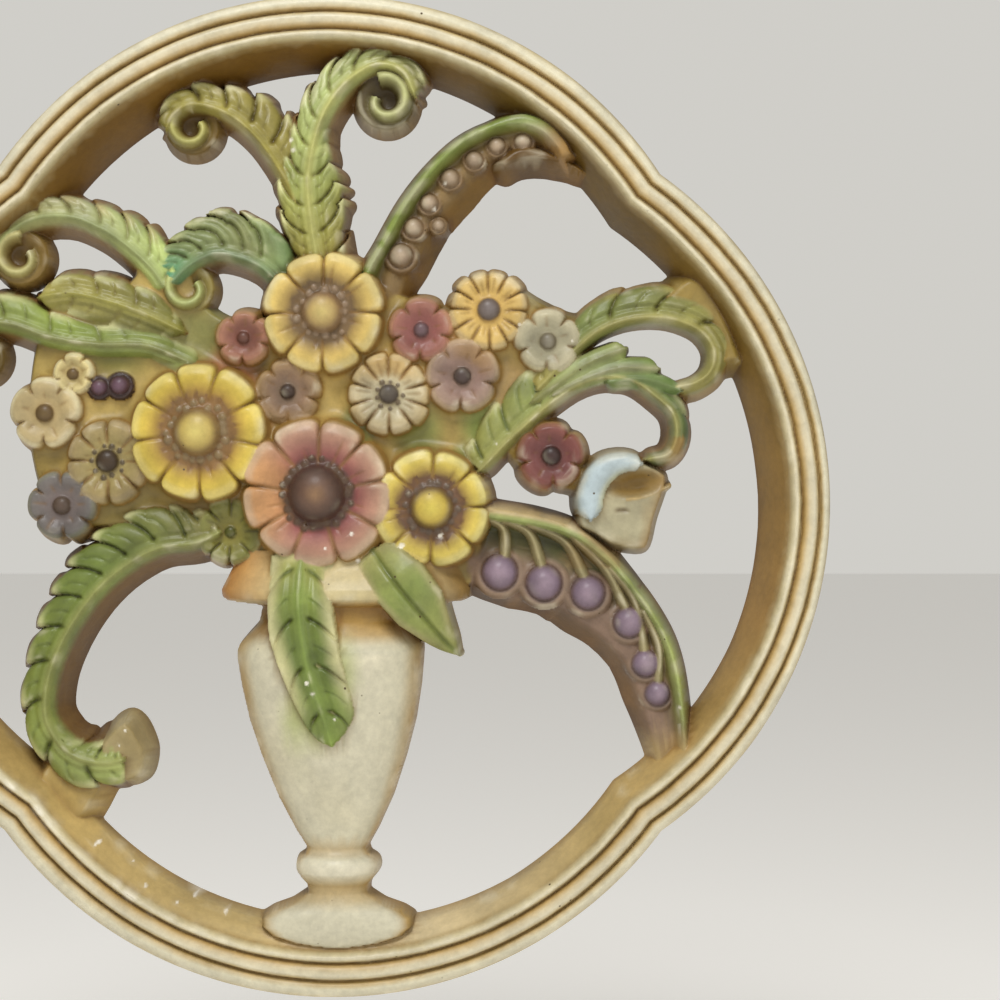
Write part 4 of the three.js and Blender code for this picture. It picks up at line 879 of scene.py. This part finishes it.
# bare white plaster where the paint has chipped: place and size
chips = [(-31.5, -120.2, 0.9), (-33, -116.5, 0.4), (-39.5, -114.8, 0.7), (-41, -115.8, 0.5), (-45.4, -117, 0.35),
         (-54.5, -112, 0.45), (-59, -105.6, 0.35), (-68.5, -99.5, 0.5), (-69.4, -100.2, 0.35), (-62, -71, 0.4),
         (-60.2, -66.4, 0.5), (-63.4, -66, 0.3), (-58.6, -71.4, 0.3), (20.6, -12.6, 0.8), (31.4, -9.8, 0.5),
         (6.2, -9, 0.6), (7.8, -17, 0.7), (-1.5, -13.5, 0.35), (92, -50.6, 0.5), (101, -56, 0.5), (101.4, -60, 0.6),
         (101.6, -65, 0.5), (33, 93.4, 0.6), (29.6, 86, 0.5), (-12, 106, 0.9), (-11.4, 103, 0.7), (-6.5, -52, 0.5),
         (-4.6, -55, 0.5), (1.5, -62.5, 0.4), (48, 17, 0.4), (70, 47, 0.3), (54.6, 51.8, 0.4)]
wear = {"fill": 0.75, "wash": "#b0925e", "rubbed": "#e9e1c6", "chip": "#efe9da", "scuff": "#efe8d4"}


def layFinish():
    # plaster and paint fill the narrow gaps between the blooms
    onGround = depthInside(np.array(ground["outline"], dtype=float), sheetX, sheetY)
    gap = smooth(np.maximum(height, 0), 2.2) - np.maximum(height, 0)
    height[:] += wear["fill"] * np.clip(gap - 0.4, 0, 7) * ramp(onGround, 0.5, 3.5)
    # a brown wash lies in the hollows, and the crests are rubbed pale
    solid = np.where(height < 0.4, 0.4, height)
    hollow = smooth(solid, 2.2) - solid
    fine = smooth(solid, 0.9) - solid
    wash = np.clip(0.5 * ramp(hollow, 0.3, 2.6) + 0.55 * ramp(fine, 0.12, 0.7), 0, 0.85)
    paint[:] = blend(paint, paint * linear(wear["wash"]), np.clip(0.7 * wash, 0, 0.62))
    over, easing = height - bench["tallest"], bench["easing"]
    height[:] = np.where(over > 0, bench["tallest"] + easing * np.tanh(over / easing), height)
    high = ramp(-fine, 0.12, 0.5) * ramp(grain(1.4, 61) + 0.4 * grain(8, 62), 0.1, 0.9)
    paint[:] = blend(paint, even(wear["rubbed"], sheetX), 0.3 * high)
    for cx, cy, size in chips:
        area = windowOf(cx - 3, cx + 3, cy - 3, cy + 3)
        away = np.hypot(sheetX[area] - cx, sheetY[area] - cy) + 0.3 * grain(0.7, 91)[area]
        spot = 1 - ramp(away, 0.6 * size, 1.15 * size)
        paint[area] = blend(paint[area], linear(wear["chip"]), 0.9 * spot)
        height[area] -= 0.15 * spot * (height[area] > 1)
    # the frame is scuffed along its inner bead, below on the left
    depth = mouldingDepth(sheetX, sheetY)
    way = np.degrees(np.arctan2(sheetY, sheetX))
    scuffed = np.exp(-((depth - 11.6) / 1.3) ** 2) * ramp(grain(1.1, 92) + 0.3 * grain(5, 93), -0.1, 0.5)
    scuffed = scuffed * ramp(way, -152, -142) * (1 - ramp(way, -118, -100))
    paint[:] = blend(paint, even(wear["scuff"], sheetX), 0.8 * scuffed)
    print("finish laid")


layFinish()


def toWorld(x, y, z):
    return (x / 1000, -z / 1000, (y - bench["hang"]) / 1000)


def bilinear(field, x, y):
    gx = np.clip((x + bench["half"]) / bench["step"], 0, len(line) - 1.001)
    gy = np.clip((y + bench["half"]) / bench["step"], 0, len(line) - 1.001)
    ix, iy = gx.astype(int), gy.astype(int)
    fx, fy = gx - ix, gy - iy
    if field.ndim == 3:
        fx, fy = fx[:, None], fy[:, None]
    return (field[iy, ix] * (1 - fx) * (1 - fy) + field[iy, ix + 1] * fx * (1 - fy)
            + field[iy + 1, ix] * (1 - fx) * fy + field[iy + 1, ix + 1] * fx * fy)


# heights and reaches in mm, for cutting the sheet to its outline and shutting it
cutting = {"least": 0.6, "rimReach": 1.6, "stride": 0.3, "furthest": 0.7, "rimHeight": 12.6, "lowest": 0.3,
           "triangles": 190000}


def joinedToMiddle(mask):
    # the patch of cells that joins the one nearest the middle, grown from it until nothing changes
    patch = np.zeros_like(mask)
    rows, columns = np.nonzero(mask)
    middle = np.argmin(line[columns] ** 2 + line[rows] ** 2)
    patch[rows[middle], columns[middle]] = True
    while True:
        grown = patch.copy()
        for k in range(12):
            grown[1:] |= grown[:-1]
            grown[:-1] |= grown[1:]
            grown[:, 1:] |= grown[:, :-1]
            grown[:, :-1] |= grown[:, 1:]
            grown &= mask
        if (grown == patch).all():
            return patch
        patch = grown


def solidCells():
    outer = lobeDepth(sheetX, sheetY)
    height[outer < 0] = bench["open"]
    kept = (height > cutting["least"]) & (outer >= 0)
    cell = kept[:-1, :-1] & kept[1:, :-1] & kept[:-1, 1:] & kept[1:, 1:]
    for k in range(4):
        # cells that touch only at a corner would leave a pinched edge
        four = [cell[:-1, :-1], cell[:-1, 1:], cell[1:, :-1], cell[1:, 1:]]
        a, b, c, d = four
        pinched = (a & d & ~b & ~c) | (b & c & ~a & ~d)
        for part in four:
            part[pinched] = False
    return joinedToMiddle(cell)


def drawnEdges(bm):
    # the sheet's free edges are drawn to the outline, or down to the back
    flat = np.array([v.co[:2] for v in bm.verts])
    free = np.array([v.is_boundary for v in bm.verts])
    x, y = flat[:, 0].copy(), flat[:, 1].copy()
    rimEdge = free & (lobeDepth(x, y) < cutting["rimReach"])
    foot = free & ~rimEdge
    cx, cy = lobeMiddle(x, y)
    away = np.hypot(x - cx, y - cy)
    reach = (rim["lobeRadius"] + swellAt(x, y)) / away
    x = np.where(rimEdge, cx + (x - cx) * reach, x)
    y = np.where(rimEdge, cy + (y - cy) * reach, y)
    gradY, gradX = np.gradient(height, bench["step"])
    startX, startY = x.copy(), y.copy()
    stride, furthest = cutting["stride"], cutting["furthest"]
    for k in range(3):
        h = bilinear(height, x, y)
        gx, gy = bilinear(gradX, x, y), bilinear(gradY, x, y)
        steep = gx * gx + gy * gy + 1e-3
        x = np.where(foot, x - np.clip(h / steep * gx, -stride, stride), x)
        y = np.where(foot, y - np.clip(h / steep * gy, -stride, stride), y)
    far = np.hypot(x - startX, y - startY)
    pull = np.where(far > furthest, furthest / np.maximum(far, 1e-6), 1)
    x = np.where(foot, startX + (x - startX) * pull, x)
    y = np.where(foot, startY + (y - startY) * pull, y)
    bm.verts.index_update()
    pairs = np.array([[v.index for v in e.verts] for e in bm.edges if e.is_boundary])
    for k in range(5):
        # the edge of each opening is eased along its length
        sumX, sumY, many = np.zeros_like(x), np.zeros_like(y), np.zeros_like(x)
        for one, other in ((0, 1), (1, 0)):
            np.add.at(sumX, pairs[:, one], x[pairs[:, other]])
            np.add.at(sumY, pairs[:, one], y[pairs[:, other]])
            np.add.at(many, pairs[:, one], 1)
        x = np.where(foot, 0.5 * x + 0.5 * sumX / np.maximum(many, 1), x)
        y = np.where(foot, 0.5 * y + 0.5 * sumY / np.maximum(many, 1), y)
    z = np.maximum(bilinear(height, x, y), cutting["lowest"])
    return x, y, np.where(foot, 0, np.where(rimEdge, cutting["rimHeight"], z))


def layFlat(geometry):
    for v in geometry:
        if isinstance(v, bmesh.types.BMVert):
            v.co.y = 0


def buildCasting():
    bm = bmesh.new()
    segments = len(line) - 1
    bmesh.ops.create_grid(bm, x_segments=segments, y_segments=segments, size=bench["half"])
    cell = solidCells()
    drop = []
    for face in bm.faces:
        centre = face.calc_center_median()
        i = int((centre.y + bench["half"]) / bench["step"])
        j = int((centre.x + bench["half"]) / bench["step"])
        if not cell[i, j]:
            drop.append(face)
    bmesh.ops.delete(bm, geom=drop, context="FACES")
    print("sheet cut out", len(bm.faces))
    for v, px, py, pz in zip(bm.verts, *drawnEdges(bm)):
        v.co = toWorld(px, py, pz)
    # the outer side runs straight to the back, and the back is the same sheet laid flat
    front = list(bm.faces)
    outerEdges = [e for e in bm.edges if e.is_boundary and all(v.co.y < -0.001 for v in e.verts)]
    layFlat(bmesh.ops.extrude_edge_only(bm, edges=outerEdges)["geom"])
    copied = bmesh.ops.duplicate(bm, geom=front)["geom"]
    layFlat(copied)
    bmesh.ops.reverse_faces(bm, faces=[f for f in copied if isinstance(f, bmesh.types.BMFace)])
    bmesh.ops.remove_doubles(bm, verts=[v for v in bm.verts if v.is_boundary], dist=1e-7)
    bmesh.ops.recalc_face_normals(bm, faces=bm.faces)
    print("shut", len(bm.faces), "open edges", sum(1 for e in bm.edges if not e.is_manifold))
    relief = bpy.data.meshes.new("plaque_relief")
    bm.to_mesh(relief)
    bm.free()
    made = bpy.data.objects.new("plaque_relief", relief)
    bpy.context.scene.collection.objects.link(made)
    return made


def thin(casting, most):
    # fewer, better placed triangles
    mesh = casting.data
    mesh.calc_loop_triangles()
    share = most / len(mesh.loop_triangles)
    if share < 1:
        modifier = casting.modifiers.new("thin", "DECIMATE")
        modifier.ratio = share
        modifier.use_collapse_triangulate = True
        graph = bpy.context.evaluated_depsgraph_get()
        done = bpy.data.meshes.new_from_object(casting.evaluated_get(graph))
        casting.modifiers.clear()
        casting.data = done
    print("triangles", len(casting.data.polygons))


def crispBack(mesh):
    # the back is flat and meets the side in a sharp edge, and the rest is softly rounded
    bm = bmesh.new()
    bm.from_mesh(mesh)
    for face in bm.faces:
        face.smooth = min(v.co.y for v in face.verts) < -1e-5
    for edge in bm.edges:
        edge.smooth = len({face.smooth for face in edge.link_faces}) == 1
    bm.to_mesh(mesh)
    bm.free()


def paintCasting(mesh):
    spots = np.empty(len(mesh.vertices) * 3)
    mesh.vertices.foreach_get("co", spots)
    spots = spots.reshape(-1, 3) * 1000
    colour = bilinear(paint, spots[:, 0], spots[:, 2] + bench["hang"])
    # the back is plain plaster, up to its sharp edge
    rounded = np.empty(len(mesh.polygons), dtype=bool)
    sides = np.empty(len(mesh.polygons), dtype=np.int32)
    corners = np.empty(len(mesh.loops), dtype=np.int32)
    mesh.polygons.foreach_get("use_smooth", rounded)
    mesh.polygons.foreach_get("loop_total", sides)
    mesh.loops.foreach_get("vertex_index", corners)
    full = np.ones((len(corners), 4), dtype=np.float32)
    full[:, :3] = np.clip(colour[corners], 0, 1)
    full[~np.repeat(rounded, sides), :3] = linear("#cbbd92")
    layer = mesh.attributes.new("paint", "FLOAT_COLOR", "CORNER")
    layer.data.foreach_set("color", full.ravel())


casting = buildCasting()
thin(casting, cutting["triangles"])
casting.data.name = "plaque_relief"
crispBack(casting.data)
paintCasting(casting.data)


def node(tree, kind, settings=None, links=None):
    made = tree.nodes.new(kind)
    for name, value in (settings or {}).items():
        if name in made.inputs:
            made.inputs[name].default_value = value
        else:
            setattr(made, name, value)
    for name, source in (links or {}).items():
        tree.links.new(source, made.inputs[name])
    return made


def paintedPlaster():
    # old hand-painted plaster under a yellowed satin varnish: soft, slightly uneven shine and a fine grain
    material = bpy.data.materials.new("painted_plaster_varnished")
    material.use_nodes = True
    tree = material.node_tree
    shader = tree.nodes["Principled BSDF"]
    place = node(tree, "ShaderNodeTexCoord").outputs["Object"]
    coat = node(tree, "ShaderNodeAttribute", {"attribute_name": "paint"})
    mottle = node(tree, "ShaderNodeTexNoise", {"Scale": 420, "Detail": 4, "Roughness": 0.65}, {"Vector": place})
    broad = node(tree, "ShaderNodeTexNoise", {"Scale": 70, "Detail": 3, "Roughness": 0.6}, {"Vector": place})
    spread = node(tree, "ShaderNodeMath", {"operation": "ADD"}, {0: mottle.outputs["Fac"], 1: broad.outputs["Fac"]})
    level = node(tree, "ShaderNodeMapRange", {"From Min": 0.7, "From Max": 1.3, "To Min": 0.84, "To Max": 1.13},
                 {"Value": spread.outputs[0]})
    lit = node(tree, "ShaderNodeVectorMath", {"operation": "SCALE"},
               {"Vector": coat.outputs["Color"], "Scale": level.outputs[0]})
    # pinholes left by air bubbles in the plaster, dark with old wash
    cells = node(tree, "ShaderNodeTexVoronoi", {"Scale": 190}, {"Vector": place})
    dot = node(tree, "ShaderNodeMapRange", {"From Min": 0.05, "From Max": 0.085, "To Min": 1, "To Max": 0},
               {"Value": cells.outputs["Distance"]})
    patches = node(tree, "ShaderNodeTexNoise", {"Scale": 55, "Detail": 2}, {"Vector": place})
    some = node(tree, "ShaderNodeMapRange", {"From Min": 0.55, "From Max": 0.62}, {"Value": patches.outputs["Fac"]})
    pits = node(tree, "ShaderNodeMath", {"operation": "MULTIPLY"}, {0: dot.outputs[0], 1: some.outputs[0]})
    holed = node(tree, "ShaderNodeMix", {"data_type": "RGBA"}, {0: pits.outputs[0], 6: lit.outputs[0]})
    holed.inputs[7].default_value = (*linear("#4c3a1c"), 1)
    tree.links.new(holed.outputs[2], shader.inputs["Base Color"])
    rough = node(tree, "ShaderNodeMapRange", {"From Min": 0.35, "From Max": 0.65, "To Min": 0.42, "To Max": 0.6},
                 {"Value": broad.outputs["Fac"]})
    tree.links.new(rough.outputs[0], shader.inputs["Roughness"])
    bump = node(tree, "ShaderNodeBump", {"Strength": 0.35, "Distance": 0.0004}, {"Height": spread.outputs[0]})
    tree.links.new(bump.outputs[0], shader.inputs["Normal"])
    for name, value in {"Specular IOR Level": 0.35, "Coat Weight": 0.12, "Coat Roughness": 0.22}.items():
        shader.inputs[name].default_value = value
    return material


casting.data.materials.clear()
casting.data.materials.append(paintedPlaster())
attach(casting, "root")
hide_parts("plaque_casting")
print("casting painted")
studio = {"floor": -0.36, "floorHalf": 6, "paper": "#f4f2ee", "glow": 0.25,
          "sky": "#e8e6e0", "light": 0.44, "seen": 0.78}


def studioPaper():
    # matt white paper that glows a little, so that no hard horizon or dark corner draws the eye
    material = bpy.data.materials.new("studio_floor")
    material.use_nodes = True
    shader = material.node_tree.nodes["Principled BSDF"]
    white = (*linear(studio["paper"]), 1)
    for name, value in {"Base Color": white, "Roughness": 0.9, "Emission Color": white,
                        "Emission Strength": studio["glow"]}.items():
        shader.inputs[name].default_value = value
    return material


floorMesh = bpy.data.meshes.new("floor")
bm = bmesh.new()
bmesh.ops.create_grid(bm, x_segments=1, y_segments=1, size=studio["floorHalf"])
bm.to_mesh(floorMesh)
bm.free()
floor = bpy.data.objects.new("floor", floorMesh)
bpy.context.scene.collection.objects.link(floor)
floor.location = (0, 0, studio["floor"])
floorMesh.materials.append(studioPaper())

world = bpy.data.worlds.new("studio")
bpy.context.scene.world = world
world.use_nodes = True
shade = world.node_tree.nodes["Background"]
shade.inputs["Color"].default_value = (*linear(studio["sky"]), 1)
# the backdrop looks brighter than the light that it gives
seen = node(world.node_tree, "ShaderNodeLightPath").outputs["Is Camera Ray"]
power = node(world.node_tree, "ShaderNodeMapRange", {"To Min": studio["light"], "To Max": studio["seen"]},
             {"Value": seen})
world.node_tree.links.new(power.outputs[0], shade.inputs["Strength"])


def lamp(name, place, aim, size, power):
    data = bpy.data.lights.new(name, "AREA")
    data.shape = "DISK"
    data.size = size
    data.energy = power
    made = bpy.data.objects.new(name, data)
    bpy.context.scene.collection.objects.link(made)
    made.location = place
    way = np.array(aim, dtype=float) - np.array(place, dtype=float)
    made.rotation_euler = (math.atan2(math.hypot(way[0], way[1]), -way[2]), 0, math.atan2(-way[0], way[1]))


lamp("key", (-0.1, -0.75, 0.75), (0, 0, -0.13), 0.5, 9.4)
lamp("fill", (0.7, -0.9, 0.1), (0, 0, -0.13), 0.8, 2)

# the lens stands straight in front, a little to the right of the plaque's middle
view = {"lens": 78.5, "sensor": 36, "shift": -0.0017, "place": (0.0495, -0.65, -0.1354)}
eye = bpy.data.cameras.new("eye")
eye.lens = view["lens"]
eye.sensor_width = view["sensor"]
eye.shift_x = view["shift"]
camera = bpy.data.objects.new("eye", eye)
bpy.context.scene.collection.objects.link(camera)
camera.location = view["place"]
camera.rotation_euler = (math.pi / 2, 0, 0)
bpy.context.scene.camera = camera
bpy.context.scene.view_settings.view_transform = "Standard"
print("floor, light and camera set")
